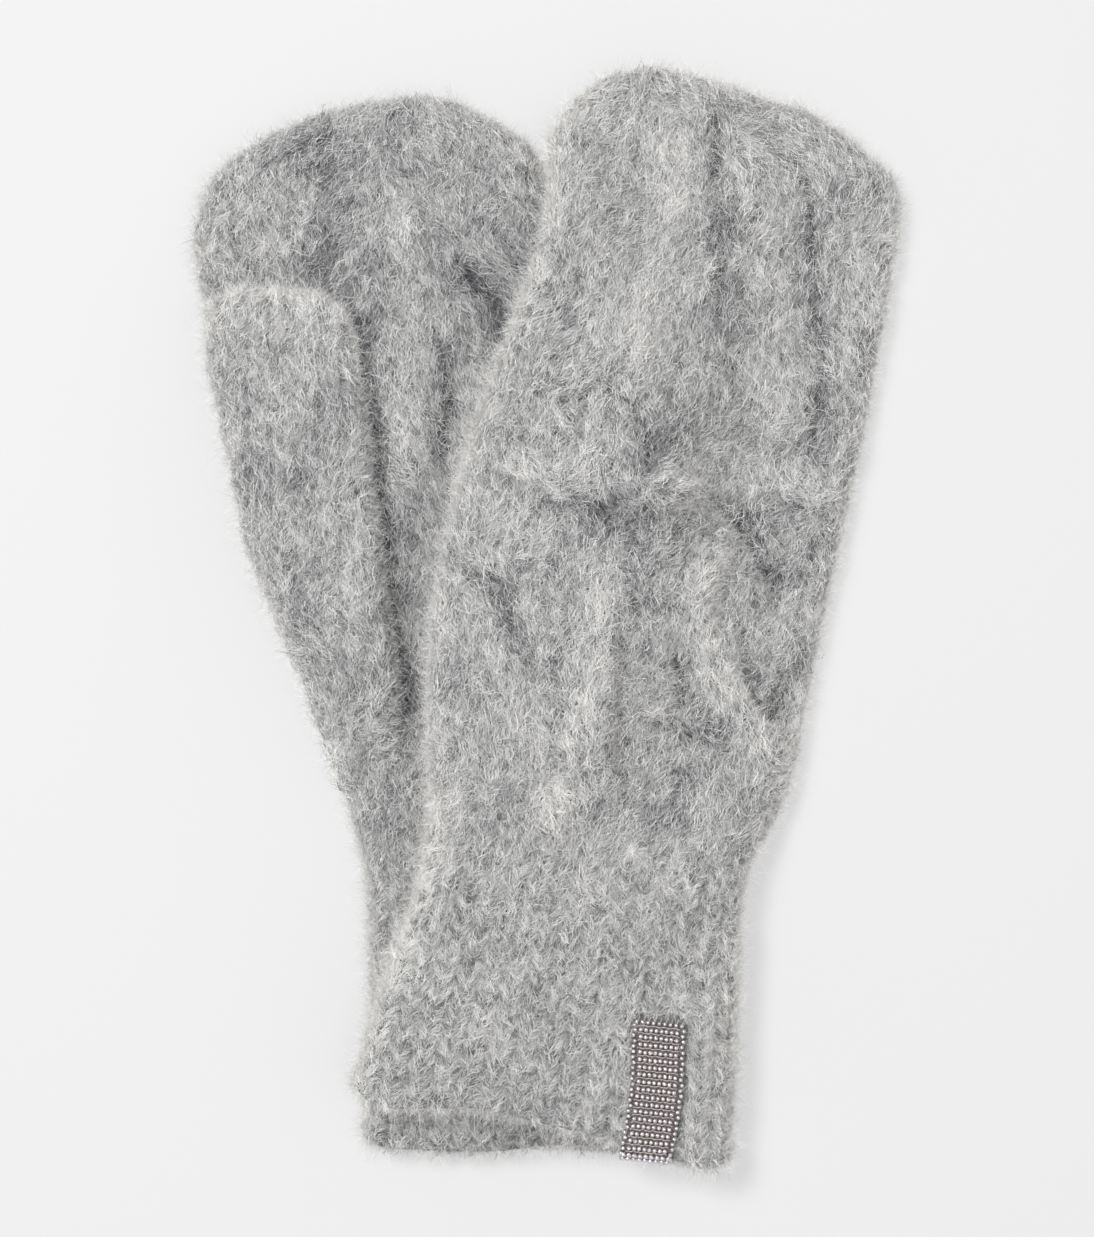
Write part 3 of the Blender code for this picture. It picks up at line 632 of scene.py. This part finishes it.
def colour_ramp(nodes, low, high):
    """A ramp between two stops, each (position, red, green, blue)."""
    made = nodes.new("ShaderNodeValToRGB")
    for stop, (position, *colour) in zip(made.color_ramp.elements, (low, high)):
        stop.position, stop.color = position, (*colour, 1)
    return made


def add_bump(nodes, links, height, shader, strength, distance):
    made = nodes.new("ShaderNodeBump")
    set_inputs(made, {"Strength": strength, "Distance": distance})
    links.new(height.outputs["Fac"], made.inputs["Height"])
    links.new(made.outputs["Normal"], shader.inputs["Normal"])


def maths(nodes, operation, value=0.5):
    made = nodes.new("ShaderNodeMath")
    made.operation = operation
    made.inputs[1].default_value = value
    return made


def wool_skin_material():
    """The knit under the brushed fibres: grey melange yarn, dark where it shows in the gaps between the
    fibres, partly its own colour and partly painted shade.
    """
    made, nodes, links, shader = new_material("wool_knit", Roughness=0.95, Sheen_Weight=0.25,
                                              Sheen_Roughness=0.5)
    place = nodes.new("ShaderNodeTexCoord")
    fine = noise_node(nodes, links, place, 900.0, 4.0)
    broad = noise_node(nodes, links, place, 160.0, 3.0)
    both, halved = maths(nodes, "ADD"), maths(nodes, "MULTIPLY")
    links.new(fine.outputs["Fac"], both.inputs[0])
    links.new(broad.outputs["Fac"], both.inputs[1])
    links.new(both.outputs[0], halved.inputs[0])
    ramp = colour_ramp(nodes, (0.38, 0.09, 0.092, 0.095), (0.66, 0.38, 0.38, 0.37))
    links.new(halved.outputs[0], ramp.inputs["Fac"])
    links.new(ramp.outputs["Color"], shader.inputs["Base Color"])
    add_bump(nodes, links, fine, shader, 0.6, 0.0004)
    return made


def fibre_materials():
    return [new_material(f"wool_fibre_{number + 1}", Base_Color=(*shade, 1), Roughness=0.85,
                         Specular_IOR_Level=0.25, Sheen_Weight=0.2, Sheen_Roughness=0.4)[0]
            for number, shade in enumerate(SHADES)]


# ------------------------ the brushed fibres

def scatter(skin, density, seed):
    """Random places on a skin, with its normal, its directions, its relief and its other values there."""
    points = skin["points"]
    columns = points.shape[1]
    normal, up = grid_normals(points)
    rng = np.random.default_rng(seed)
    beside = np.roll(points, -1, axis=1)
    area = 0.5 * np.linalg.norm(np.cross(beside[1:] - points[:-1], points[1:] - beside[:-1]), axis=-1)
    weight = (area * density[:-1]).ravel()
    count = int(weight.sum())
    cell = rng.choice(weight.size, size=count, p=weight / weight.sum())
    r, col = np.divmod(cell, columns)
    n = (col + 1) % columns
    s, t = rng.random((2, count))

    def mix(values):
        s_, t_ = (s, t) if values.ndim == 2 else (s[:, None], t[:, None])
        return ((values[r, col] * (1 - s_) + values[r, n] * s_) * (1 - t_)
                + (values[r + 1, col] * (1 - s_) + values[r + 1, n] * s_) * t_)

    step = np.linalg.norm(beside - points, axis=-1)
    broad = skin["broad"]
    around = (np.roll(broad, -1, axis=1) - np.roll(broad, 1, axis=1)) / np.maximum(2 * step, 0.05)
    along = np.gradient(broad, axis=0) / GRID
    normals = unit(mix(normal))
    ups = mix(up)
    ups = unit(ups - (ups * normals).sum(1)[:, None] * normals)
    return {"place": mix(points), "normal": normals, "up": ups, "side": np.cross(normals, ups),
            "slope": (mix(along), -mix(around)), "upper": col < skin["top"], "rng": rng,
            **{key: mix(skin[key]) for key in ("relief", "broad", "edge", "lean")}}


def ribbons(places, flats):
    """Tapered ribbons: two corners at each place along a fibre and one at its tip."""
    corners = []
    for place, flat in zip(places[:-1], flats):
        corners += [place - flat, place + flat]
    return np.stack([*corners, places[-1]], axis=1)


def shade_pieces(name, corners, shade, finishes):
    """Meshes for each shade of fibre, none of them over PIECE_FACES."""
    corners[..., 2] = np.maximum(corners[..., 2], 0.05)
    size = corners.shape[1]
    one = np.array([face for i in range(0, size - 3, 2) for face in ((i, i + 1, i + 3), (i, i + 3, i + 2))]
                   + [(size - 3, size - 2, size - 1)])
    pieces = []
    for number, finish in enumerate(finishes):
        mine = corners[shade == number]
        parts = math.ceil(len(mine) * len(one) / PIECE_FACES)
        for part, some in zip("abcdef", np.array_split(mine, parts) if parts else []):
            faces = (np.arange(len(some))[:, None, None] * size + one).reshape(-1, 3)
            pieces.append(mesh_piece(f"{name}_{number + 1}{part}", some, faces, finish))
    return pieces


def lock_angles(spots, wale_at, seed):
    """Which way each lock runs, in radians from straight up: swirls, the stitches' legs, and ridges."""
    rng, lean = spots["rng"], spots["lean"]
    x, y = spots["place"][:, :2].T
    off = np.where(spots["upper"], 0.0, 500.0)
    swirl = 0.75 * noise(x + off, y, 13, seed + 1) + 0.45 * noise(x + off, y, 5, seed + 2)
    arm = np.where(wale_at(x, y) % 1.0 < 0.5, 1.0, -1.0) * LEG_ANGLE * lean
    slope_up, slope_side = spots["slope"]
    steep = np.clip(np.hypot(slope_up, slope_side) / STEEP, 0, 1) * 0.7
    sign = np.where(slope_side < 0, 1.0, -1.0)
    ridge = np.arctan2(slope_up * sign, -slope_side * sign)
    angle = (swirl * (1 - 0.6 * lean) + arm) * (1 - 0.6 * steep) + ridge * steep
    angle += rng.normal(0, 0.3, len(x)) * (1 - 0.5 * lean)
    return np.where(rng.random(len(x)) < 0.3, angle + math.pi, angle)


def lock_shades(spots, height, seed, painted_shading):
    """How pale each lock is: clumps drawn out along the brushing, painted shade in the relief's grooves and
    painted light on its ridges, its height, painted light at the sides, chance and any painted shading given.
    """
    x, y = spots["place"][:, :2].T
    off = np.where(spots["upper"], 0.0, 500.0)
    tuft = noise(x * 1.7 + off, y * 0.8, 3.0, seed + 4) + 0.8 * noise(x * 2.0 + off, y, 1.6, seed + 5)
    patch = noise(x + off, y, 8, seed + 6) + 0.6 * noise(x + off, y, 20, seed + 7)
    broad = spots["broad"]
    on_cuff = (spots["lean"] - 0.3) / 0.7
    melange = 0.30 * tuft + 0.24 * patch + spots["rng"].normal(0, 0.36, len(x))
    # painted shade in the relief's grooves, painted light on its ridges and, from the edge value, painted
    # light at the sides
    return (melange * (0.86 - 0.26 * on_cuff) + 0.2 * on_cuff + np.where(broad < 0, 1.1, 0.36) * broad
            + 0.4 * (height - 0.6) + 0.55 * spots["edge"] + 0.03 + painted_shading(x, y))


def fibres(name, skin, finishes, seed, painted_shading):
    """Brushed fibres: locks of fibres that run together, and strays among them."""
    points = skin["points"]
    tufted = 1 + 0.6 * noise(points[..., 0] + 2 * points[..., 2], points[..., 1], 1.5, seed + 8)
    spots = scatter(skin, skin["density"] * np.clip(tufted, 0.2, 2) / LOCK, seed)
    rng = spots["rng"]
    locks = len(spots["place"])
    angle = lock_angles(spots, skin["wale_at"], seed)
    sideways = 1 - np.abs(spots["normal"][:, 2])
    length = rng.uniform(*FIBRE_LENGTHS, locks) * (1 - 0.33 * spots["lean"])
    length *= 1 - 0.55 * smoothstep(1.5 * sideways)
    bend = rng.normal(0, 0.4, locks)
    height = rng.uniform(0.15, 1.0, locks)
    # the last argument adds painted shade and painted light to the locks' colour
    value = lock_shades(spots, height, seed, painted_shading)

    def each(values):
        return np.repeat(values, LOCK, axis=0)

    count = locks * LOCK
    stray = rng.random(count) < STRAYS
    normal, up, side, lean = (each(spots[key]) for key in ("normal", "up", "side", "lean"))

    def run_along(run):
        along = up * np.cos(run)[:, None] + side * np.sin(run)[:, None]
        return along, np.cross(normal, along)

    run = each(angle)
    along, across = run_along(run)
    place = (each(spots["place"]) + along * rng.uniform(-1.2, 1.2, count)[:, None]
             + across * rng.normal(0, 0.45, count)[:, None])
    run = run + rng.normal(0, 0.15, count) + np.where(stray, rng.normal(0, 0.8, count), 0)
    along, across = run_along(run)
    length = each(length) * rng.uniform(0.55, 1.1, count) * np.where(stray, 1.25, 1.0)
    hill = np.clip(1 + 0.3 * each(spots["relief"]), 0.45, 1.5)
    rise = (each(height) + rng.uniform(0, 0.45, count) + np.where(stray, 0.35, 0)) * hill
    drop = rng.uniform(0.15, 1.0, count)
    bend = (each(bend) + rng.normal(0, 0.35, count)) * np.where(stray, 2.0, 1.0 - 0.45 * lean)
    wave = rng.normal(0, 0.12, count)
    width = FIBRE_WIDTH * rng.uniform(0.65, 1.25, count) * np.where(stray, 0.75, 1.0) * (1.04 - 0.14 * lean)
    centre = place + along * (length * 0.45)[:, None]
    # painted shade in the stitches' hollows and painted light on their legs, for each fibre
    stitch_shading = stitch_painted_shade(skin["wale_at"](centre[:, 0], centre[:, 1]), centre[:, 1] / COURSE)
    value = (each(value) + (0.25 + 0.6 * lean) * stitch_shading
             + rng.normal(0, 1, count) * (0.85 - 0.3 * lean) + np.where(stray, 0.4, 0))

    places = [place - normal * 0.25]
    for share, lift in ((0.33, 0.85), (0.68, 1.0), (1.0, None)):
        aside = bend * share ** 2 * 0.45 + wave * math.sin(2 * math.pi * share)
        lifted = rise * (drop if lift is None else lift)
        places.append(place + along * (length * share * 0.92)[:, None] + across * (length * aside)[:, None]
                      + normal * lifted[:, None])
    tilt = unit(across + normal * rng.normal(0, 0.4, count)[:, None]) * (width / 2)[:, None]
    corners = ribbons(places, [tilt, tilt * 0.95, tilt * 0.75])
    return shade_pieces(f"{name}_fibres", corners, np.digitize(value, SHADE_STEPS), finishes)


def halo(name, skin, finishes, seed):
    """Fine pale fibres that stand out from the sides, so that the outline is soft."""
    normal, _ = grid_normals(skin["points"])
    sideways = np.clip((0.8 - np.abs(normal[..., 2])) / 0.5, 0, 1)
    spots = scatter(skin, HALO_DENSITY * sideways * (skin["density"] > 0), seed)
    rng = spots["rng"]
    place, normal, up, side = (spots[key] for key in ("place", "normal", "up", "side"))
    count = len(place)
    x, y = place[:, :2].T
    angle = 0.9 * noise(x, y, 6, seed + 1) + rng.normal(0, 0.8, count)
    angle = np.where(rng.random(count) < 0.45, angle + math.pi, angle)
    along = up * np.cos(angle)[:, None] + side * np.sin(angle)[:, None]
    cross = np.cross(normal, along)
    length = rng.gamma(5.0, 0.85, count).clip(1.2, 9.0)
    out = rng.uniform(0.15, 0.75, count)
    bend = rng.normal(0, 0.5, count)
    root = place - normal * 0.2
    lean = cross * (bend * length)[:, None]
    middle = place + along * (length * 0.45)[:, None] + normal * (length * out * 0.6)[:, None] + lean * 0.1
    tip = place + along * (length * 0.8)[:, None] + normal * (length * out * 0.9)[:, None] + lean * 0.4
    flat = unit(cross + normal * rng.normal(0, 0.5, count)[:, None]) * (HALO_WIDTH / 2)
    shade = rng.choice([3, 4, 5], size=count, p=[0.15, 0.40, 0.45])
    return shade_pieces(f"{name}_halo", ribbons([root, middle, tip], [flat, flat * 0.85]), shade, finishes)


# ------------------------ the stage

def build_floor():
    bpy.ops.mesh.primitive_plane_add(size=6.0, location=(0, 0, 0))
    floor = bpy.context.object
    floor.name = "floor"
    # the floor glows: painted light that lifts the shadows on it and lights the pair from below
    finish = new_material("glowing_floor_paper", Base_Color=(0.33, 0.33, 0.33, 1), Specular_IOR_Level=0.0,
                          Roughness=1.0, Emission_Color=(1, 1, 1, 1), Emission_Strength=FLOOR_GLOW)[0]
    floor.data.materials.append(finish)


def build_world():
    """A pale room that is darker overhead, so that the steel has something to reflect."""
    world = bpy.data.worlds.new("studio")
    bpy.context.scene.world = world
    world.use_nodes = True
    nodes, links = world.node_tree.nodes, world.node_tree.links
    direction = nodes.new("ShaderNodeTexCoord")
    facing = nodes.new("ShaderNodeVectorMath")
    facing.operation = "DOT_PRODUCT"
    facing.inputs[1].default_value = (-0.25, 0.25, 0.935)
    ramp = colour_ramp(nodes, (0.36, 1.0, 0.99, 0.99), (0.80, 0.16, 0.16, 0.18))
    links.new(direction.outputs["Generated"], facing.inputs[0])
    links.new(facing.outputs["Value"], ramp.inputs["Fac"])
    links.new(ramp.outputs["Color"], nodes["Background"].inputs["Color"])
    nodes["Background"].inputs["Strength"].default_value = 0.84


def build_lamps():
    for name, place, size, energy in LAMPS:
        data = bpy.data.lights.new(name, "AREA")
        data.shape = "SQUARE"
        data.size = size
        data.energy = energy
        lamp = bpy.data.objects.new(name, data)
        bpy.context.scene.collection.objects.link(lamp)
        lamp.location = place
        lamp.rotation_mode = "QUATERNION"
        lamp.rotation_quaternion = (-lamp.location).to_track_quat("-Z", "Y")
        lamp.visible_camera = False


def build_camera():
    """A long lens straight above the pair, as in the photograph."""
    data = bpy.data.cameras.new("camera")
    data.lens = 100.0
    data.sensor_fit = "AUTO"
    data.sensor_width = 36.0
    data.clip_start, data.clip_end = 0.05, 10
    camera = bpy.data.objects.new("camera", data)
    bpy.context.scene.collection.objects.link(camera)
    camera.location = (0, 0, AIM_HEIGHT + VIEW_HEIGHT * data.lens / data.sensor_width)
    bpy.context.scene.camera = camera
    bpy.context.scene.view_settings.view_transform = "Standard"


def build_stage():
    build_floor()
    build_world()
    build_lamps()
    build_camera()


# ------------------------ the tabs

def thread_material(name, dark, pale, scale):
    """Fine twisted threads across the object's length, their colour following the twist's relief: painted
    light on the crests and painted shade in the hollows.
    """
    made, nodes, links, shader = new_material(name, Roughness=0.8, Sheen_Weight=0.2)
    place = nodes.new("ShaderNodeTexCoord")
    weave = nodes.new("ShaderNodeTexWave")
    weave.bands_direction = "DIAGONAL"
    set_inputs(weave, {"Scale": scale, "Distortion": 2.0, "Detail Scale": 3.0})
    links.new(place.outputs["Object"], weave.inputs["Vector"])
    ramp = colour_ramp(nodes, (0.0, *dark), (1.0, *pale))
    links.new(weave.outputs["Fac"], ramp.inputs["Fac"])
    links.new(ramp.outputs["Color"], shader.inputs["Base Color"])
    add_bump(nodes, links, weave, shader, 0.5, 0.0001)
    return made


def on_tab(where, reach, sideways, lift):
    """Points down a tab's face and round the cuff's edge; where is the tab, its height and its facing."""
    tab, face, facing = where
    top, across, down = tab_frame(tab)
    reach, sideways, lift = np.broadcast_arrays(reach, sideways, lift)
    turn_at = TAB_LENGTH - EDGE_SETBACK - HAND_WALL / 2 - GAP - RIBBON_THICK
    radius = HAND_WALL / 2 + lift
    angle = np.clip((reach - turn_at) / radius, 0, math.pi)
    past = np.maximum(reach - turn_at - radius * math.pi, 0)
    out = np.where(reach > turn_at, turn_at + radius * np.sin(angle) - past, reach)
    height = np.where(reach > turn_at, radius * np.cos(angle), radius)
    sideways = sideways + through(TAB_BOW)(out)
    x = top[0] + down[0] * out + across[0] * sideways
    y = top[1] + down[1] * out + across[1] * sideways
    return np.stack([x, y, face + facing * (height - HAND_WALL / 2)], -1)


def ball(rings=8, segments=12):
    """A unit ball's points and faces, quads all over, with narrow ones at the poles."""
    polar = np.linspace(0.0, math.pi, rings + 1)
    around = np.linspace(0, 2 * math.pi, segments, endpoint=False)
    points = np.stack([np.outer(np.sin(polar), np.cos(around)), np.outer(np.sin(polar), np.sin(around)),
                       np.outer(np.cos(polar), np.ones(segments))], -1)
    points[0, :, 2], points[-1, :, 2] = 1, -1
    return points.reshape(-1, 3), ring_faces(rings + 1, segments)[:, ::-1]


def many(template, centres, sizes):
    """One shape set down at each centre."""
    points, faces = template
    placed = points[None] * sizes[:, None, None] + centres[:, None]
    numbered = faces[None] + (np.arange(len(centres)) * len(points))[:, None, None]
    return placed.reshape(-1, 3), numbered.reshape(-1, faces.shape[1])


def tubes(routes, radius, sides=6):
    """Round cords along routes of points."""
    all_points, all_faces, start = [], [], 0
    for route in routes:
        along = unit(np.gradient(route, axis=0))
        aside = unit(np.cross(along, (0.1, 0.2, 1.0)))
        above = np.cross(aside, along)
        turn = np.linspace(0, 2 * math.pi, sides, endpoint=False)
        circle = (aside[:, None] * np.cos(turn)[None, :, None] + above[:, None] * np.sin(turn)[None, :, None])
        swelling = np.ones(len(route))
        swelling[0] = swelling[-1] = 0.02
        points = route[:, None] + circle * radius * swelling[:, None, None]
        all_points.append(points.reshape(-1, 3))
        all_faces.append(ring_faces(len(route), sides) + start)
        start += points.shape[0] * points.shape[1]
    return np.concatenate(all_points), np.concatenate(all_faces)


def build_ribbon(side, where, finish):
    """The ribbon as a closed band that turns round the cuff's edge."""
    across = np.linspace(-TAB_WIDTH / 2, TAB_WIDTH / 2, 20)
    reach = np.linspace(RIBBON_START, RIBBON_END, 90)
    r, a = np.meshgrid(reach, across, indexing="ij")
    edge = np.exp(-((np.abs(a) - TAB_WIDTH / 2) / 0.5) ** 2)
    weave = 0.05 * np.cos(2 * math.pi * r / ROW_PITCH) + 0.12 * edge
    outer = on_tab(where, r, a, GAP + RIBBON_THICK - 0.1 + weave)
    inner = on_tab(where, r, a, np.full_like(r, GAP))
    points = ring(outer, inner)
    faces = capped_ring_faces(len(points), len(across))
    if where[-1] > 0:
        faces = faces[:, ::-1]
    return mesh_piece(f"{side}_ribbon", points, faces, finish)


def ball_places(where):
    """The centres and radii of a tab's balls: its rows, its sides, and the crowded rows at its ends."""
    rng = np.random.default_rng(7)
    centres, sizes = [], []

    def add(reach, sideways, radius, lift=BALL_LIFT):
        centres.append(on_tab(where, reach, sideways, lift))
        sizes.append(np.full(len(centres[-1]), radius))

    def spread(count, pitch):
        return (np.arange(count) - (count - 1) / 2) * pitch

    for row in range(TAB_ROWS):
        reach = FIRST_ROW + row * ROW_PITCH + rng.normal(0, 0.05, ROW_BALLS)
        add(reach, spread(ROW_BALLS, BALL_PITCH) + rng.normal(0, 0.03, ROW_BALLS), BALL_RADIUS)
    for edge_side in (-1, 1):
        number = np.arange(EDGE_BALLS)
        reach = 0.9 + number * EDGE_PITCH + (0.5 if edge_side > 0 else 0.0)
        stagger = np.where(number % 2 == 0, 0.0, 0.3) + rng.normal(0, 0.06, EDGE_BALLS)
        add(reach, edge_side * (EDGE_PLACE - stagger), BALL_RADIUS * 0.95, BALL_LIFT - 0.2)
    for reach, radius in CROWDED_ROWS:
        add(reach, spread(CROWDED_BALLS, CROWDED_PITCH), radius)
    return np.concatenate(centres), np.concatenate(sizes)


def thread_routes(where):
    """Threads that lie between the rows and rise between the balls."""
    places = np.linspace(-5.3, 5.3, 66)
    phase = 2 * math.pi * places / BALL_PITCH
    return [on_tab(where, FIRST_ROW + (row - 0.5) * ROW_PITCH + 0.1 * np.cos(phase / 2 + row),
                   places, BALL_LIFT - 0.5 + 0.4 * np.cos(phase)) for row in range(TAB_ROWS + 1)]


def stitch_routes(where):
    """Stitches that hop from the ribbon's top on to the cuff."""
    hop = np.linspace(0, 1, 7)
    height = 0.2 + 1.3 * np.sin(math.pi * (0.15 + 0.85 * hop))
    return [on_tab(where, 0.9 - 2.4 * hop, place + 0.7 * hop, height)
            for place in np.linspace(-5.6, 5.6, 9)]


def build_tab(side, where, body, finishes):
    """The ribbon, its stitches, the threads and the steel balls."""
    strip = build_ribbon(side, where, finishes["ribbon"])
    balls = mesh_piece(f"{side}_steel_balls", *many(ball(), *ball_places(where)), finishes["steel"])
    threads = mesh_piece(f"{side}_tab_threads", *tubes(thread_routes(where), THREAD_RADIUS),
                         finishes["thread"])
    stitches = mesh_piece(f"{side}_tab_stitching", *tubes(stitch_routes(where), STITCH_RADIUS),
                          finishes["yarn"])
    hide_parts(f"{side}_tab_ribbon")
    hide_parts(*[f"{side}_tab_row_{row + 1:02d}" for row in range(18)])
    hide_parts(f"{side}_tab_stitches")
    for piece, slot in ((strip, "tab_ribbon"), (balls, "steel_balls"), (threads, "tab_ribbon"),
                        (stitches, "seam_yarn")):
        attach(piece, body)


# ------------------------ the pair

def thumb_blend(piece):
    """Bakes a thumb's piece's transform into its mesh."""
    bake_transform(piece)


def under_right_mitten(x, y):
    """1 where the right mitten lies on the left one, 0 where the left one shows."""
    side, end = through(RIGHT["thumb_side"]), through(RIGHT["cuff_end"])
    return smoothstep((x - side(y) - 5) / 4) * smoothstep((y - end(x) - 5) / 4)


def pale_edge(x, y):
    """The right mitten's thumb side is paler, where the light passes through its fuzz."""
    away = x - through(RIGHT["thumb_side"])(y)
    return (0.1 + 0.5 * smoothstep((-30 - y) / 50)) * np.exp(-((away / 6.5) ** 2)) + 0.02


left_thumb_edge = through([(y, x) for share, x, y in LEFT_THUMB["inner"] if share >= 0])


def left_crease_shade(x, y):
    """Painted shade: the palm darkens in the crease beside the thumb that is folded over it, and the whole
    mitten is a little darker.
    """
    away = x - left_thumb_edge(y) - 0.4
    length = smoothstep((y + 34) / 12) * (1 - 0.75 * smoothstep((y - 45) / 30))
    # painted shade in the crease, as a narrow dark band beside the thumb's edge
    return -3.7 * np.exp(-((away / 2.3) ** 2)) * length - 0.12


def thumb_tip_and_crease_shade(x, y):
    """The thumb's tip is paler, and painted shade darkens it most where it dips into the crease."""
    crease = np.exp(-(((x - left_thumb_edge(y)) / 1.4) ** 2)) * (y < 60)
    # the crease term is painted shade
    return 0.5 * smoothstep((y - 66) / 14) - 1.3 * crease


def cover(name, skin, finishes, seed, replaced, painted_shading=nowhere):
    """The knitted skin and its coat of fibres, as pieces."""
    points = skin["points"]
    knit = mesh_piece(f"{name}_knit", points, ring_faces(*points.shape[:2]), finishes["wool"])
    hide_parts(*replaced)
    pieces = [knit, *fibres(name, skin, finishes["fibres"], seed, painted_shading),
              *halo(name, skin, finishes["fibres"], seed + 50)]
    return pieces


def hand_nodes(side):
    return [f"{side}_{part}" for part in ("hand_back", "hand_palm", "cuff", "cuff_edge", "thumb_side_seam",
                                          "outer_side_seam", "tip_seam")]


def thumb_nodes(side):
    return [f"{side}_{part}" for part in ("thumb", "thumb_gusset", "thumb_seam")]


def left_thumb_low(x, y, t):
    return HAND_THICK - 0.8 + (LAYER_GAP + 0.8) * smoothstep((t + 0.12) / 0.16)


def left_thumb_high(x, y, t):
    return HAND_THICK - 0.2 + (LAYER_GAP + THUMB_THICK + 0.2) * smoothstep((t + 0.62) / 0.6)


def right_thumb_low(x, y, t):
    return on_left_mitten(x, y) + 0.1


def right_thumb_high(x, y, t):
    share = smoothstep((t + 0.12) / 0.16)
    return (right_base(x, y) + 0.8) * (1 - share) + (on_left_mitten(x, y) + THUMB_THICK) * share


def build_mittens():
    steel = new_material("polished_steel", Base_Color=(0.70, 0.66, 0.68, 1), Metallic=1.0, Roughness=0.2)[0]
    finishes = {"wool": wool_skin_material(), "fibres": fibre_materials(), "steel": steel,
                "ribbon": thread_material("woven_ribbon", (0.06, 0.05, 0.05), (0.26, 0.23, 0.22), 900.0),
                "thread": thread_material("cream_thread", (0.42, 0.39, 0.34), (0.80, 0.76, 0.68), 1500.0),
                "yarn": thread_material("sewing_yarn", (0.25, 0.25, 0.25), (0.55, 0.54, 0.52), 1500.0)}

    left = mitten_skin(LEFT, nowhere, PALM_RELIEF, LEFT_TAB, False, under_right_mitten, rise_for_left_tab)
    for piece in cover("left_mitten", left, finishes, 100, hand_nodes("left"), left_crease_shade):
        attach(piece, "left_mitten")
    right = mitten_skin(RIGHT, right_base, BACK_RELIEF, RIGHT_TAB, True)
    for piece in cover("right_mitten", right, finishes, 200, hand_nodes("right"), pale_edge):
        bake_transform(piece)

    left_thumb = thumb_skin(LEFT_THUMB, left_thumb_low, left_thumb_high, (TOP_DENSITY, UNDER_DENSITY))
    for piece in cover("left_thumb", left_thumb, finishes, 300, thumb_nodes("left"), thumb_tip_and_crease_shade):
        thumb_blend(piece)
    right_thumb = thumb_skin(RIGHT_THUMB, right_thumb_low, right_thumb_high, (UNDER_DENSITY, UNDER_DENSITY))
    for piece in cover("right_thumb", right_thumb, finishes, 400, thumb_nodes("right")):
        thumb_blend(piece)

    build_tab("left", (LEFT_TAB, RISE_FOR_TAB, -1), "left_mitten", finishes)
    build_tab("right", (RIGHT_TAB, HAND_THICK * 2 + LAYER_GAP, 1), "right_cuff", finishes)


build_mittens()
build_stage()
